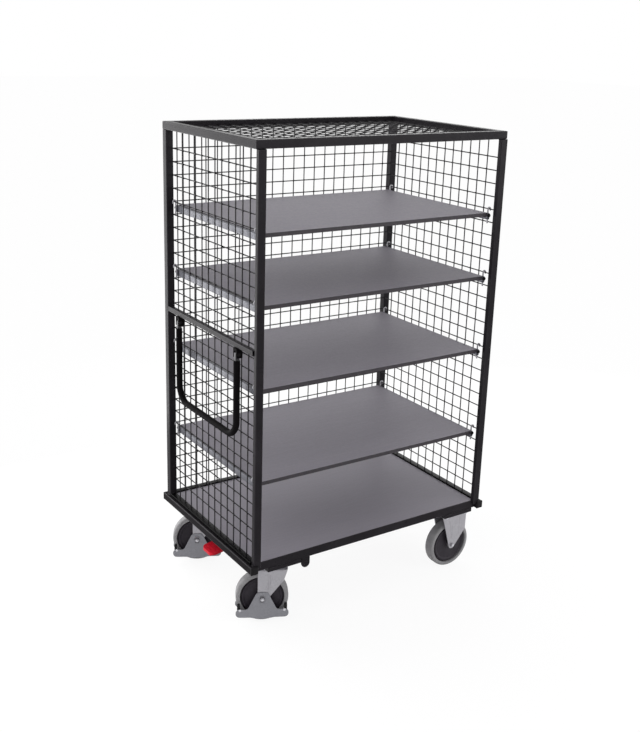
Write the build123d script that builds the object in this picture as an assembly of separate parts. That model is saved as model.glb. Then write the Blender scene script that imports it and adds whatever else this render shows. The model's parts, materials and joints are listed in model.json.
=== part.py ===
from build123d import *
import math
import os

# Shelf trolley: wire-mesh cage on four castors, with hook-in shelves, a fold-down
# push handle and a central pedal brake on the swivel castors.
# Millimetres. X runs along the length with the handle at -X, Y along the depth with
# the open front at -Y, Z up. The origin is on the floor under the middle.

# Cage
FRAME_LENGTH = 1090.0
FRAME_DEPTH = 700.0
FRAME_HEIGHT = 1815.0
TUBE = 30.0
TUBE_WALL = 2.0
TUBE_CORNER = 2.0
FRONT_POST_DEPTH = 20.0
FRONT_POST_INSET = 5.0
FRONT_POST_SETOUT = 10.0
PANEL_RAIL_DEPTH = 25.0
PANEL_RAIL_HEIGHT = 20.0

# Welded mesh
MESH_PITCH = 50.0
WIRE_RADIUS = 2.5
WIRE_SIDES = 6
MESH_ROWS = 28
MESH_SIDE_COLUMNS = 12
MESH_BACK_COLUMNS = 20
MESH_TOP_ROW = 99.0
LAYER_GAP = 0.1
ROOF_MESH_DROP = 15.0

# Base
BASE_BOTTOM = 266.0
DECK_TOP = 300.0
DECK_THICKNESS = 15.0
DECK_LENGTH = 1038.0
LIP_THICKNESS = 3.0
BOARD_PLAY = 0.5
END_RAIL_LENGTH = 740.0
END_RAIL_SETOUT = 10.0
CAP_LENGTH = 9.0
CAP_CHAMFER = 4.0
CAP_PLUG_LENGTH = 16.0
CAP_PLUG_PLAY = 0.2
BEAM_LENGTH = 144.0
BEAM_SHEET = 3.0

# Shelves, each hung on one row of mesh wires counted from the top
SHELF_ROWS = (4, 9, 15, 22)
SHELF_DROP = 12.0
BOARD_THICKNESS = 15.0
SHELF_FRONT = -322.0
SHELF_BACK = 315.0
SHELF_RAIL_OUT = 511.0
SHELF_RAIL_SECTION = (12.0, 25.0)
SHELF_RAIL_SINK = 2.0
HOOK_RADIUS = 3.0
HOOK_PLAY = 0.4
HOOK_TAIL = 55.0
HOOK_TIP = 6.0
HOOK_PLACES = (-311.0, 311.0)

# Push handle
CROSS_RAIL_TOP = 1107.0
CROSS_RAIL_DEPTH = 19.8
CROSS_RAIL_HEIGHT = 20.0
HANDLE_X = -543.0
HANDLE_LEG_Y = 228.0
HANDLE_AXIS_Z = 1066.0
HANDLE_TUBE_RADIUS = 10.5
HANDLE_TUBE_WALL = 2.0
HANDLE_SIDES = 12
HANDLE_BORE_SIDES = 6
HANDLE_BEND = 65.0
HANDLE_BEND_STEPS = 6
HANDLE_LEG_TOP = 1040.0
HANDLE_BAR_Z = 750.5
PIVOT_BLOCK = (24.0, 30.0, 35.0)
PIVOT_BRIDGE = 11.0
PIVOT_BACK = 3.0
PIVOT_CHAMFER = 2.0
PIVOT_SLOT_PLAY = 0.2
TONGUE_THICKNESS = 12.0
TONGUE_WIDTH = 16.0
TONGUE_SIDES = 12
TONGUE_PLUG = 20.0
TONGUE_PLUG_SECTION = (12.0, 8.0)
PIN_RADIUS = 4.0
PIN_SIDES = 8

# Castors
WHEEL_RADIUS = 100.0
TYRE_THICKNESS = 16.0
TYRE_WIDTH = 44.0
TYRE_SHOULDER = 6.0
CORE_WIDTH = 37.0
DISH_RADIUS = 74.0
DISH_DEPTH = 3.6
DISH_TAPER = 50.0
DISH_SIDES = 24
HUB_RADIUS = 22.0
HUB_SIDES = 12
SPACER_RADIUS = 14.0
SPACER_PLAY = 0.3
CORE_SIDES = 48
AXLE_RADIUS = 6.0
AXLE_SIDES = 8
AXLE_HEX_RADIUS = 8.5
HEX_SIDES = 6
AXLE_HEAD = 7.0
FIT = 0.06
BORE_SIDES = 16
CASTOR_HEIGHT = 250.0
SWIVEL_X = -402.0
SWIVEL_Y = 269.0
SWIVEL_TURN = -27.6
SWIVEL_TRAIL = 42.0
FIXED_X = 442.0
FIXED_Y = 286.0
FIXED_BEAM_X = 440.0
FORK_GAP = 62.0
FORK_SHEET = 4.0
FORK_SHOULDER = 12.0
NOSE_SIDES = 12
SWIVEL_NOSE = 18.0
SWIVEL_FORK_REACH = 95.0
SWIVEL_FORK_CORNER = (80.0, 175.0)
FIXED_NOSE = 16.0
FIXED_FORK_TAPER = 2.0
FIXED_FORK_WAIST = 160.0
BEAD_WIDTH = 11.0
BEAD_DEPTH = 1.2
# Beads as place along X, height, length and lean in degrees
SWIVEL_BEADS = ((26.0, 165.0, 62.0, 70.0),)
FIXED_BEADS = ((-16.0, 175.0, 80.0, 100.0), (30.0, 185.0, 80.0, 90.0))
SWIVEL_CROWN_TOP = 223.0
SWIVEL_PLATE = (138.0, 110.0, 6.0)
FIXED_PLATE = (128.0, 110.0, 5.0)
FIXED_PLATE_SHIFT = 6.0
PLATE_CHAMFER = 8.0
RACE_RADIUS = 38.0
RACE_SIDES = 24
CUP_RADIUS = 46.0
CUP_HEIGHT = 10.0
KINGPIN_RADIUS = 12.0
KINGPIN_SIDES = 16
KINGPIN_BORE = 5.8
KINGPIN_BORE_SIDES = 8
KINGPIN_NUT_RADIUS = 19.0
KINGPIN_NUT_HEIGHT = 8.2
BEARING_PLAY = 0.3

# Foot guards on the swivel castors
GUARD_SHEET = 3.0
GUARD_SLOT = (14.0, 32.0)
# Corners of half a guard from its top, as X and height above the axle, with their rounding
GUARD_CORNERS = (
    (21.0, 27.0, 14.0),
    (55.0, -44.0, 14.0),
    (100.0, -44.0, 14.0),
    (100.0, -77.0, 16.0),
    (46.0, -78.0, 0.0),
    (20.0, -83.0, 0.0),
)
BUMPER_X = 89.0
BUMPER_HEIGHT = -39.5
BUMPER_SECTION = (11.0, 33.0)
BUMPER_TYRE_GAP = 3.0
BUMPER_CHAMFER = 2.5

# Pedal brake
BRAKE_X = -309.5
BRAKE_Z = 242.0
BRAKE_SHAFT_RADIUS = 8.0
BRAKE_SHAFT_SHORT = 0.5
BRAKE_LUG_SHEET = 8.0
BRAKE_LUG_RADIUS = 17.5
BRAKE_LUG_SIDES = 16
BRAKE_TRAVEL_DEG = 6.0
PLUNGER_TRAVEL_PER_RADIAN = 93.0
PLUNGER_RADIUS = 5.0
PLUNGER_SIDES = 8
PLUNGER_SINK = 2.0
PLUNGER_TOP = 265.0
PLUNGER_PLAY = 0.4
SHOE_TOP = 209.0
SHOE_WIDTH = 36.0
SHOE_FRONT = 24.0
SHOE_REAR = -14.0
ARM_WIDTH = 14.0
ARM_TOP = 279.0
ARM_BAR_HEIGHT = 8.5
ARM_HUB_RADIUS = 14.0
ARM_HUB_SIDES = 16
LEVER_WIDTH = 24.0
LEVER_DEPTH = 10.0
LEVER_SETBACK = 12.0
PEDAL_WIDTH = 84.0
PEDAL_OUTER_X = -545.0
PEDAL_INNER_X = -470.0
PEDAL_OUTER_Z = 188.0
PEDAL_INNER_Z = 199.0
PEDAL_THICKNESS = 9.0
PEDAL_LIP = 3.0
PEDAL_CORNER = 20.0
PEDAL_GROOVES = 4
PEDAL_GROOVE_SIZE = (4.0, 72.0, 3.0)

# Planes of the cage, measured from the middle
POST_OUT_X = FRAME_LENGTH / 2
POST_OUT_Y = FRAME_DEPTH / 2
POST_IN_X = POST_OUT_X - TUBE
POST_IN_Y = POST_OUT_Y - TUBE
FRONT_POST_IN_X = POST_IN_X - FRONT_POST_INSET
FRONT_POST_IN_Y = POST_OUT_Y + FRONT_POST_SETOUT - FRONT_POST_DEPTH
ROOF_BOTTOM = FRAME_HEIGHT - TUBE
TOP_ROW_Z = FRAME_HEIGHT - MESH_TOP_ROW
DECK_BOTTOM = DECK_TOP - DECK_THICKNESS
END_RAIL_IN = POST_OUT_X + END_RAIL_SETOUT - TUBE
END_RAIL_TOP = BASE_BOTTOM + TUBE
PANEL_RAIL_IN_X = POST_OUT_X - PANEL_RAIL_DEPTH
PANEL_RAIL_IN_Y = POST_OUT_Y - PANEL_RAIL_DEPTH
WIRE_STEP = 2 * WIRE_RADIUS + LAYER_GAP
SIDE_VERTICAL_X = PANEL_RAIL_IN_X + WIRE_RADIUS + LAYER_GAP
SIDE_HORIZONTAL_X = SIDE_VERTICAL_X - WIRE_STEP
BACK_VERTICAL_Y = PANEL_RAIL_IN_Y + WIRE_RADIUS + LAYER_GAP
BACK_HORIZONTAL_Y = BACK_VERTICAL_Y - WIRE_STEP
AXLE_Z = WHEEL_RADIUS
FORK_OUT = FORK_GAP / 2 + FORK_SHEET
PLUNGER_TRAVEL = PLUNGER_TRAVEL_PER_RADIAN * math.radians(BRAKE_TRAVEL_DEG)
TYRE_SEAT = WHEEL_RADIUS - TYRE_THICKNESS

# Posts as their name, side, inner faces in X and Y, width and depth
POSTS = (
    ("front", -1, FRONT_POST_IN_X, FRONT_POST_IN_Y, TUBE, FRONT_POST_DEPTH),
    ("back", 1, POST_IN_X, POST_IN_Y, TUBE, TUBE),
)

# Length by which a cutting block runs past the face it cuts
CUT = 1.0

os.makedirs("parts", exist_ok=True)


def block(x_span, y_span, z_span):
    """Rectangular block between the given low and high values."""
    spans = (x_span, y_span, z_span)
    sizes = [high - low for low, high in spans]
    middle = [(low + high) / 2 for low, high in spans]
    return Pos(*middle) * Box(*sizes)


def save(node, *solids):
    """Write one node, as a single solid or as a group of separate solids."""
    shape = solids[0] if len(solids) == 1 else Compound(children=list(solids))
    export_step(shape, f"parts/{node}.step")


def tube_section(width, height):
    """Hollow rectangular-tube section with its outer corners broken."""
    outer = chamfer(Rectangle(width, height).vertices(), TUBE_CORNER)
    return outer - Rectangle(width - 2 * TUBE_WALL, height - 2 * TUBE_WALL)


def tube_x(x_span, y_mid, z_mid, width=TUBE, height=TUBE):
    """Tube along X."""
    plane = Plane(origin=(x_span[0], y_mid, z_mid), x_dir=(0, 1, 0), z_dir=(1, 0, 0))
    return extrude(plane * tube_section(width, height), amount=x_span[1] - x_span[0])


def tube_y(y_span, x_mid, z_mid, width=TUBE, height=TUBE):
    """Tube along Y."""
    plane = Plane(origin=(x_mid, y_span[0], z_mid), x_dir=(-1, 0, 0), z_dir=(0, 1, 0))
    return extrude(plane * tube_section(width, height), amount=y_span[1] - y_span[0])


def bar(start, end, section):
    """Straight bar of any section between two points."""
    start = Vector(start)
    run = Vector(end) - start
    return extrude(Plane(origin=start, z_dir=run.normalized()) * section, amount=run.length)


def rod(start, end, radius):
    """Round bar between two points."""
    return bar(start, end, Circle(radius))


def wire(start, end):
    """Mesh wire, kept to six flat sides because there are so many."""
    return bar(start, end, RegularPolygon(WIRE_RADIUS, WIRE_SIDES))


def faceted_y(x, z, radius, sides, y_span):
    """Bar along Y with flat sides, for pins that are held and for the holes that hold them."""
    return plate_xz(Pos(x, z) * RegularPolygon(radius, sides), sorted(y_span))


def plate_xz(sketch, y_span):
    """Plate drawn in X and Z, between two values of Y."""
    plane = Plane(origin=(0, y_span[1], 0), x_dir=(1, 0, 0), z_dir=(0, -1, 0))
    return extrude(plane * sketch, amount=y_span[1] - y_span[0])


def bore_y(x, z, radius, y_span):
    """Round bar along Y, used as a cutter."""
    return rod((x, y_span[0], z), (x, y_span[1], z), radius)


def running_bore(radius):
    """Section of a hole that a pin turns in, clear of the pin at the middle of each flat."""
    return RegularPolygon(radius + FIT, BORE_SIDES, major_radius=False)


def outline(points, radii):
    """Closed outline with its own rounding at each corner."""
    return make_face(FilletPolyline(*points, radius=radii, close=True))


def centred(count, pitch):
    """Places of a row of items about the middle."""
    return [(index - (count - 1) / 2) * pitch for index in range(count)]


# Base frame: end rails, side rails, deck board and castor beams

def end_cap(side_x, side_y):
    """Plastic plug with a bevelled head on one end of an end rail."""
    inside = TUBE / 2 - TUBE_WALL - CAP_PLUG_PLAY
    head = chamfer(Box(TUBE, CAP_LENGTH, TUBE).faces().sort_by(Axis.Y)[-1].edges(), CAP_CHAMFER)
    plug = Pos(0, -(CAP_LENGTH + CAP_PLUG_LENGTH) / 2, 0) * Box(2 * inside, CAP_PLUG_LENGTH, 2 * inside)
    cap = head + plug
    turn = 0 if side_y > 0 else 180
    place = Pos(
        side_x * (END_RAIL_IN + TUBE / 2),
        side_y * (END_RAIL_LENGTH - CAP_LENGTH) / 2,
        BASE_BOTTOM + TUBE / 2,
    )
    return place * Rot(0, 0, turn) * cap


def end_rail(side_x):
    half = END_RAIL_LENGTH / 2 - CAP_LENGTH
    return tube_y((-half, half), side_x * (END_RAIL_IN + TUBE / 2), BASE_BOTTOM + TUBE / 2)


def side_rail(side_y):
    """Flat tube along one side of the base, under the deck."""
    height = DECK_BOTTOM - BASE_BOTTOM
    y_mid = side_y * (POST_IN_Y + TUBE / 2)
    return tube_x((-END_RAIL_IN, END_RAIL_IN), y_mid, BASE_BOTTOM + height / 2, TUBE, height)


def front_side_rail():
    """Rail with a thin lip in front of the deck's edge."""
    lip_y = (-POST_OUT_Y, -POST_OUT_Y + LIP_THICKNESS)
    lip = block((-FRONT_POST_IN_X, FRONT_POST_IN_X), lip_y, (DECK_BOTTOM - TUBE_CORNER, DECK_TOP))
    return side_rail(-1) + lip


def back_side_rail():
    """Rail with a second tube on it, behind the deck and under the back panel."""
    y_mid = POST_OUT_Y - PANEL_RAIL_DEPTH / 2
    z_mid = DECK_TOP - DECK_THICKNESS / 2
    return side_rail(1) + tube_x((-POST_IN_X, POST_IN_X), y_mid, z_mid, PANEL_RAIL_DEPTH, DECK_THICKNESS)


def deck_board():
    """Grey board with its corners cut out round the posts."""
    y_span = (-POST_OUT_Y + LIP_THICKNESS + BOARD_PLAY, PANEL_RAIL_IN_Y - BOARD_PLAY)
    board = block((-DECK_LENGTH / 2, DECK_LENGTH / 2), y_span, (DECK_BOTTOM, DECK_TOP))
    corner = Box(2 * TUBE, 2 * TUBE, 2 * DECK_THICKNESS)
    for _, side_y, in_x, in_y, _, _ in POSTS:
        for side_x in (-1, 1):
            x_mid = side_x * (in_x - BOARD_PLAY + TUBE)
            y_mid = side_y * (in_y - BOARD_PLAY + TUBE)
            board -= Pos(x_mid, y_mid, DECK_TOP) * corner
    return board


def castor_beam(x_mid):
    """Shallow sheet channel, open at the top, with closed ends."""
    x_span = (x_mid - BEAM_LENGTH / 2, x_mid + BEAM_LENGTH / 2)
    beam = block(x_span, (-POST_OUT_Y, POST_OUT_Y), (CASTOR_HEIGHT, BASE_BOTTOM))
    inner_x = (x_span[0] + BEAM_SHEET, x_span[1] - BEAM_SHEET)
    inner_y = (-POST_OUT_Y + BEAM_SHEET, POST_OUT_Y - BEAM_SHEET)
    return beam - block(inner_x, inner_y, (CASTOR_HEIGHT + BEAM_SHEET, BASE_BOTTOM + CUT))


def kingpin_bore():
    """Section of the hole that the brake plunger runs in."""
    return RegularPolygon(KINGPIN_BORE, KINGPIN_BORE_SIDES)


def swivel_beam():
    """Beam with a hole for the brake plunger over each swivel axis."""
    beam = castor_beam(SWIVEL_X)
    for side_y in (-1, 1):
        foot = (SWIVEL_X, side_y * SWIVEL_Y, CASTOR_HEIGHT - CUT)
        top = (SWIVEL_X, side_y * SWIVEL_Y, BASE_BOTTOM)
        beam -= bar(foot, top, kingpin_bore())
    return beam


# Cage: posts, roof rails and the rails of the mesh panels

def post(side_x, side_y, in_x, in_y, width, depth):
    """Corner post, stepped at its foot to stand on both base rails."""
    x_mid = side_x * (in_x + width / 2)
    y_mid = side_y * (in_y + depth / 2)
    section = Pos(x_mid, y_mid, DECK_BOTTOM) * tube_section(width, depth)
    tube = extrude(section, amount=ROOF_BOTTOM - DECK_BOTTOM)
    foot_x = sorted((side_x * END_RAIL_IN, side_x * (in_x + width + CUT)))
    foot_y = sorted((side_y * (in_y - CUT), side_y * (in_y + depth + CUT)))
    return tube - block(foot_x, foot_y, (DECK_BOTTOM - CUT, END_RAIL_TOP))


def mitred(rail, corners):
    """Roof rail cut to the outline that its mitred ends leave."""
    limits = Pos(0, 0, ROOF_BOTTOM) * make_face(Polyline(*corners, close=True))
    return rail & extrude(limits, amount=TUBE, dir=(0, 0, 1))


def roof_rail_long(side_y):
    """Front or back roof rail with mitred ends."""
    y_mid = side_y * (POST_IN_Y + TUBE / 2)
    rail = tube_x((-POST_OUT_X, POST_OUT_X), y_mid, ROOF_BOTTOM + TUBE / 2)
    corners = (
        (-POST_OUT_X, side_y * POST_OUT_Y),
        (POST_OUT_X, side_y * POST_OUT_Y),
        (POST_IN_X, side_y * POST_IN_Y),
        (-POST_IN_X, side_y * POST_IN_Y),
    )
    return mitred(rail, corners)


def roof_rail_short(side_x):
    """Left or right roof rail with mitred ends."""
    x_mid = side_x * (POST_IN_X + TUBE / 2)
    rail = tube_y((-POST_OUT_Y, POST_OUT_Y), x_mid, ROOF_BOTTOM + TUBE / 2)
    corners = (
        (side_x * POST_OUT_X, -POST_OUT_Y),
        (side_x * POST_OUT_X, POST_OUT_Y),
        (side_x * POST_IN_X, POST_IN_Y),
        (side_x * POST_IN_X, -POST_IN_Y),
    )
    return mitred(rail, corners)


def panel_bottom_rails():
    """Rails on the base that the mesh panels end on."""
    mid_x = POST_OUT_X - PANEL_RAIL_DEPTH / 2
    mid_y = POST_OUT_Y - PANEL_RAIL_DEPTH / 2
    side_z = END_RAIL_TOP + PANEL_RAIL_HEIGHT / 2
    back_z = DECK_TOP + PANEL_RAIL_HEIGHT / 2
    left = tube_y((-FRONT_POST_IN_Y, POST_IN_Y), -mid_x, side_z, PANEL_RAIL_DEPTH, PANEL_RAIL_HEIGHT)
    right = tube_y((-FRONT_POST_IN_Y, POST_IN_Y), mid_x, side_z, PANEL_RAIL_DEPTH, PANEL_RAIL_HEIGHT)
    back = tube_x((-POST_IN_X, POST_IN_X), mid_y, back_z, PANEL_RAIL_DEPTH, PANEL_RAIL_HEIGHT)
    return left, right, back


# Mesh panels: upright wires outside, level wires inside, ends on the tubes

def row_heights():
    return [TOP_ROW_Z - MESH_PITCH * row for row in range(MESH_ROWS)]


def side_mesh(side_x):
    upright_x = side_x * SIDE_VERTICAL_X
    level_x = side_x * SIDE_HORIZONTAL_X
    foot = END_RAIL_TOP + PANEL_RAIL_HEIGHT
    wires = []
    for y in centred(MESH_SIDE_COLUMNS, MESH_PITCH):
        wires.append(wire((upright_x, y, foot), (upright_x, y, ROOF_BOTTOM)))
    for z in row_heights():
        wires.append(wire((level_x, -FRONT_POST_IN_Y, z), (level_x, POST_IN_Y, z)))
    return wires


def back_mesh():
    foot = DECK_TOP + PANEL_RAIL_HEIGHT
    wires = []
    for x in centred(MESH_BACK_COLUMNS, MESH_PITCH):
        wires.append(wire((x, BACK_VERTICAL_Y, foot), (x, BACK_VERTICAL_Y, ROOF_BOTTOM)))
    for z in row_heights():
        wires.append(wire((-POST_IN_X, BACK_HORIZONTAL_Y, z), (POST_IN_X, BACK_HORIZONTAL_Y, z)))
    return wires


def roof_mesh():
    upper_z = FRAME_HEIGHT - ROOF_MESH_DROP - WIRE_RADIUS
    lower_z = upper_z - WIRE_STEP
    wires = []
    for x in centred(MESH_BACK_COLUMNS, MESH_PITCH):
        wires.append(wire((x, -POST_IN_Y, upper_z), (x, POST_IN_Y, upper_z)))
    for y in centred(MESH_SIDE_COLUMNS, MESH_PITCH):
        wires.append(wire((-POST_IN_X, y, lower_z), (POST_IN_X, y, lower_z)))
    return wires


# Shelves: board, zinc end rails, rod hooks over a mesh wire

def shelf_board(row_z):
    top = row_z - SHELF_DROP
    half = SHELF_RAIL_OUT - SHELF_RAIL_SECTION[0]
    return block((-half, half), (SHELF_FRONT, SHELF_BACK), (top - BOARD_THICKNESS, top))


def shelf_hook(y, row_z):
    """Bent rod: tail on the next wire down, crook over the carrying wire."""
    crook = WIRE_RADIUS + HOOK_PLAY + HOOK_RADIUS
    inner_x = SIDE_HORIZONTAL_X - crook
    outer_x = SIDE_HORIZONTAL_X + crook
    rise = crook * math.tan(math.pi / 8)
    path = Polyline(
        (inner_x, y, row_z - HOOK_TAIL),
        (inner_x, y, row_z + rise),
        (SIDE_HORIZONTAL_X - rise, y, row_z + crook),
        (SIDE_HORIZONTAL_X + rise, y, row_z + crook),
        (outer_x, y, row_z + rise),
        (outer_x, y, row_z - HOOK_TIP),
    )
    section = RegularPolygon(HOOK_RADIUS, WIRE_SIDES)
    start = Plane(origin=path @ 0, z_dir=path % 0)
    return sweep(start * section, path=path, transition=Transition.RIGHT)


def shelf_hook_rails(row_z):
    """Left and right tube along the board's ends, each with two hooks welded on."""
    width, height = SHELF_RAIL_SECTION
    x_mid = SHELF_RAIL_OUT - width / 2
    z_mid = row_z - SHELF_DROP - SHELF_RAIL_SINK - height / 2
    rail = tube_y((SHELF_FRONT, SHELF_BACK), x_mid, z_mid, width, height)
    for y in HOOK_PLACES:
        rail += shelf_hook(y, row_z)
    return rail, mirror(rail, Plane.YZ)


# Push handle

def handle_cross_rail():
    x_mid = -POST_OUT_X + CROSS_RAIL_DEPTH / 2
    z_mid = CROSS_RAIL_TOP - CROSS_RAIL_HEIGHT / 2
    return tube_y((-FRONT_POST_IN_Y, POST_IN_Y), x_mid, z_mid, CROSS_RAIL_DEPTH, CROSS_RAIL_HEIGHT)


def pivot_block(side_y):
    """Clevis under the cross rail, open below and outwards."""
    depth, width, height = PIVOT_BLOCK
    top = CROSS_RAIL_TOP - CROSS_RAIL_HEIGHT
    y_mid = side_y * HANDLE_LEG_Y
    x_out = -POST_OUT_X - depth / 4
    x_span = (x_out, x_out + depth)
    clevis = block(x_span, (y_mid - width / 2, y_mid + width / 2), (top - height, top))
    clevis = chamfer(clevis.edges().filter_by(Axis.Z), PIVOT_CHAMFER)
    slot = TONGUE_THICKNESS / 2 + PIVOT_SLOT_PLAY
    slot_x = (x_out - CUT, x_span[1] - PIVOT_BACK)
    clevis -= block(slot_x, (y_mid - slot, y_mid + slot), (top - height - CUT, top - PIVOT_BRIDGE))
    hole_y = (y_mid - width, y_mid + width)
    return clevis - faceted_y(HANDLE_X, HANDLE_AXIS_Z, PIN_RADIUS + FIT / 2, PIN_SIDES, hole_y)


def pivot_pin(side_y):
    y_mid = side_y * HANDLE_LEG_Y
    half = PIVOT_BLOCK[1] / 2
    return faceted_y(HANDLE_X, HANDLE_AXIS_Z, PIN_RADIUS, PIN_SIDES, (y_mid - half, y_mid + half))


def handle_tube():
    """U of round tube, open at the tops of its legs."""
    bend_y = HANDLE_LEG_Y - HANDLE_BEND
    bend_z = HANDLE_BAR_Z + HANDLE_BEND
    right = [(HANDLE_X, HANDLE_LEG_Y, HANDLE_LEG_TOP)]
    for step in range(HANDLE_BEND_STEPS + 1):
        angle = math.pi / 2 * step / HANDLE_BEND_STEPS
        right.append((
            HANDLE_X,
            bend_y + HANDLE_BEND * math.cos(angle),
            bend_z - HANDLE_BEND * math.sin(angle),
        ))
    left = [(x, -y, z) for x, y, z in reversed(right)]
    path = Polyline(*right, *left)
    start = Plane(origin=path @ 0, z_dir=path % 0)
    wall = RegularPolygon(HANDLE_TUBE_RADIUS, HANDLE_SIDES)
    wall -= RegularPolygon(HANDLE_TUBE_RADIUS - HANDLE_TUBE_WALL, HANDLE_BORE_SIDES)
    return sweep(start * wall, path=path, transition=Transition.RIGHT)


def handle_tongue(side_y):
    """Eye that turns on the pin, with a flat stem in the leg's end."""
    y_mid = side_y * HANDLE_LEG_Y
    half = TONGUE_THICKNESS / 2
    y_span = (y_mid - half, y_mid + half)
    eye = faceted_y(HANDLE_X, HANDLE_AXIS_Z, TONGUE_WIDTH / 2, TONGUE_SIDES, y_span)
    x_span = (HANDLE_X - TONGUE_WIDTH / 2, HANDLE_X + TONGUE_WIDTH / 2)
    neck = block(x_span, y_span, (HANDLE_LEG_TOP, HANDLE_AXIS_Z))
    plug_foot = (HANDLE_X, y_mid, HANDLE_LEG_TOP - TONGUE_PLUG)
    plug = bar(plug_foot, (HANDLE_X, y_mid, HANDLE_LEG_TOP), Rectangle(*TONGUE_PLUG_SECTION))
    tongue = eye + neck + plug
    hole_y = (y_mid - TONGUE_THICKNESS, y_mid + TONGUE_THICKNESS)
    return tongue - plate_xz(Pos(HANDLE_X, HANDLE_AXIS_Z) * running_bore(PIN_RADIUS), hole_y)


# Castor pieces, drawn with the wheel's middle over X = 0, Y = 0

def tyre():
    """Running surface with bevelled shoulders, keyed to the core by the flats of its seat."""
    half = TYRE_WIDTH / 2
    tread = plate_xz(Pos(0, AXLE_Z) * RegularPolygon(WHEEL_RADIUS, CORE_SIDES), (-half, half))
    sides = tread.faces().sort_by(Axis.Y)
    tread = chamfer(sides[0].edges() + sides[-1].edges(), TYRE_SHOULDER)
    seat = plate_xz(Pos(0, AXLE_Z) * RegularPolygon(TYRE_SEAT, CORE_SIDES), (-WHEEL_RADIUS, WHEEL_RADIUS))
    return tread - seat


def wheel_core():
    """Wheel centre with a dish round the hub on both faces."""
    half = CORE_WIDTH / 2
    section = RegularPolygon(TYRE_SEAT, CORE_SIDES) - running_bore(AXLE_RADIUS)
    core = plate_xz(Pos(0, AXLE_Z) * section, (-half, half))
    for side in (-1, 1):
        face = Plane(origin=(0, side * half, AXLE_Z), x_dir=(1, 0, 0), z_dir=(0, -side, 0))
        dish = extrude(face * RegularPolygon(DISH_RADIUS, DISH_SIDES), amount=DISH_DEPTH, taper=DISH_TAPER)
        hub = extrude(face * RegularPolygon(HUB_RADIUS, HUB_SIDES), amount=DISH_DEPTH)
        core -= dish - hub
    return core


def axle(half_grip):
    """Axle bolt with hexagon head, nut and the two spacers beside the wheel."""
    bolt = faceted_y(0, AXLE_Z, AXLE_RADIUS, AXLE_SIDES, (-half_grip, half_grip))
    for side in (-1, 1):
        grip = (side * half_grip, side * (half_grip + AXLE_HEAD))
        spacer = (side * (CORE_WIDTH / 2 + SPACER_PLAY), side * FORK_GAP / 2)
        bolt += faceted_y(0, AXLE_Z, AXLE_HEX_RADIUS, HEX_SIDES, grip)
        bolt += faceted_y(0, AXLE_Z, SPACER_RADIUS, AXLE_SIDES, spacer)
    return bolt


def pressed_fork(side_outline, crown_top):
    """Sheet bent to a U with round shoulders and trimmed to its side outline."""
    def arch(half, top, shoulder):
        section = Pos(0, top / 2) * Rectangle(2 * half, top)
        return fillet(section.vertices().sort_by(Axis.Y)[-2:], shoulder)

    outer = arch(FORK_OUT, crown_top, FORK_SHOULDER)
    inner = arch(FORK_GAP / 2, crown_top - FORK_SHEET, FORK_SHOULDER - FORK_SHEET)
    reach = 2 * WHEEL_RADIUS
    plane = Plane(origin=(-reach, 0, 0), x_dir=(0, 1, 0), z_dir=(1, 0, 0))
    bent = extrude(plane * (outer - inner), amount=2 * reach)
    trimmed = bent & plate_xz(side_outline, (-FORK_OUT, FORK_OUT))
    return trimmed - faceted_y(0, AXLE_Z, AXLE_RADIUS + FIT, AXLE_SIDES, (-reach, reach))


def with_beads(fork, beads):
    """Fork with pressed beads on the outside of both cheeks."""
    for x, z, length, lean in beads:
        groove = chamfer(Rectangle(length, BEAD_WIDTH).vertices(), BEAD_WIDTH / 3)
        for side in (-1, 1):
            cheek = sorted((side * (FORK_OUT + CUT), side * (FORK_OUT - BEAD_DEPTH)))
            fork -= plate_xz(Pos(x, z) * Rot(0, 0, lean) * groove, cheek)
    return fork


def swivel_fork():
    """Fork with an upright rear edge, a sloped front edge and the lower bearing race."""
    edges = (Pos(0, AXLE_Z) * RegularPolygon(SWIVEL_NOSE, NOSE_SIDES)).edges()
    edges += Polyline(
        (-SWIVEL_NOSE, AXLE_Z),
        (-SWIVEL_NOSE, SWIVEL_CROWN_TOP),
        (SWIVEL_FORK_REACH, SWIVEL_CROWN_TOP),
        SWIVEL_FORK_CORNER,
    ).edges()
    fork = pressed_fork(make_hull(edges), SWIVEL_CROWN_TOP)
    race_top = CASTOR_HEIGHT - SWIVEL_PLATE[2] - CUP_HEIGHT - BEARING_PLAY
    race = RegularPolygon(RACE_RADIUS, RACE_SIDES)
    fork += bar((SWIVEL_TRAIL, 0, SWIVEL_CROWN_TOP), (SWIVEL_TRAIL, 0, race_top), race)
    fork -= rod((SWIVEL_TRAIL, 0, AXLE_Z), (SWIVEL_TRAIL, 0, CASTOR_HEIGHT), KINGPIN_RADIUS + FIT)
    return with_beads(fork, SWIVEL_BEADS)


def fixed_fork(side_y):
    """Fork with two upright beads, under its top plate."""
    length, width, sheet = FIXED_PLATE
    crown_top = CASTOR_HEIGHT - sheet
    low = FIXED_PLATE_SHIFT - length / 2
    high = FIXED_PLATE_SHIFT + length / 2
    edges = (Pos(0, AXLE_Z) * RegularPolygon(FIXED_NOSE, NOSE_SIDES)).edges()
    waist = (high - FIXED_FORK_TAPER, FIXED_FORK_WAIST)
    edges += Polyline((low, crown_top), (high, crown_top), waist).edges()
    fork = with_beads(pressed_fork(make_hull(edges), crown_top), FIXED_BEADS)
    plate = block((low, high), (-width / 2, width / 2), (crown_top, CASTOR_HEIGHT))
    fork += chamfer(plate.edges().filter_by(Axis.Z), PLATE_CHAMFER)
    return Pos(FIXED_X, side_y * FIXED_Y, 0) * fork


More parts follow.
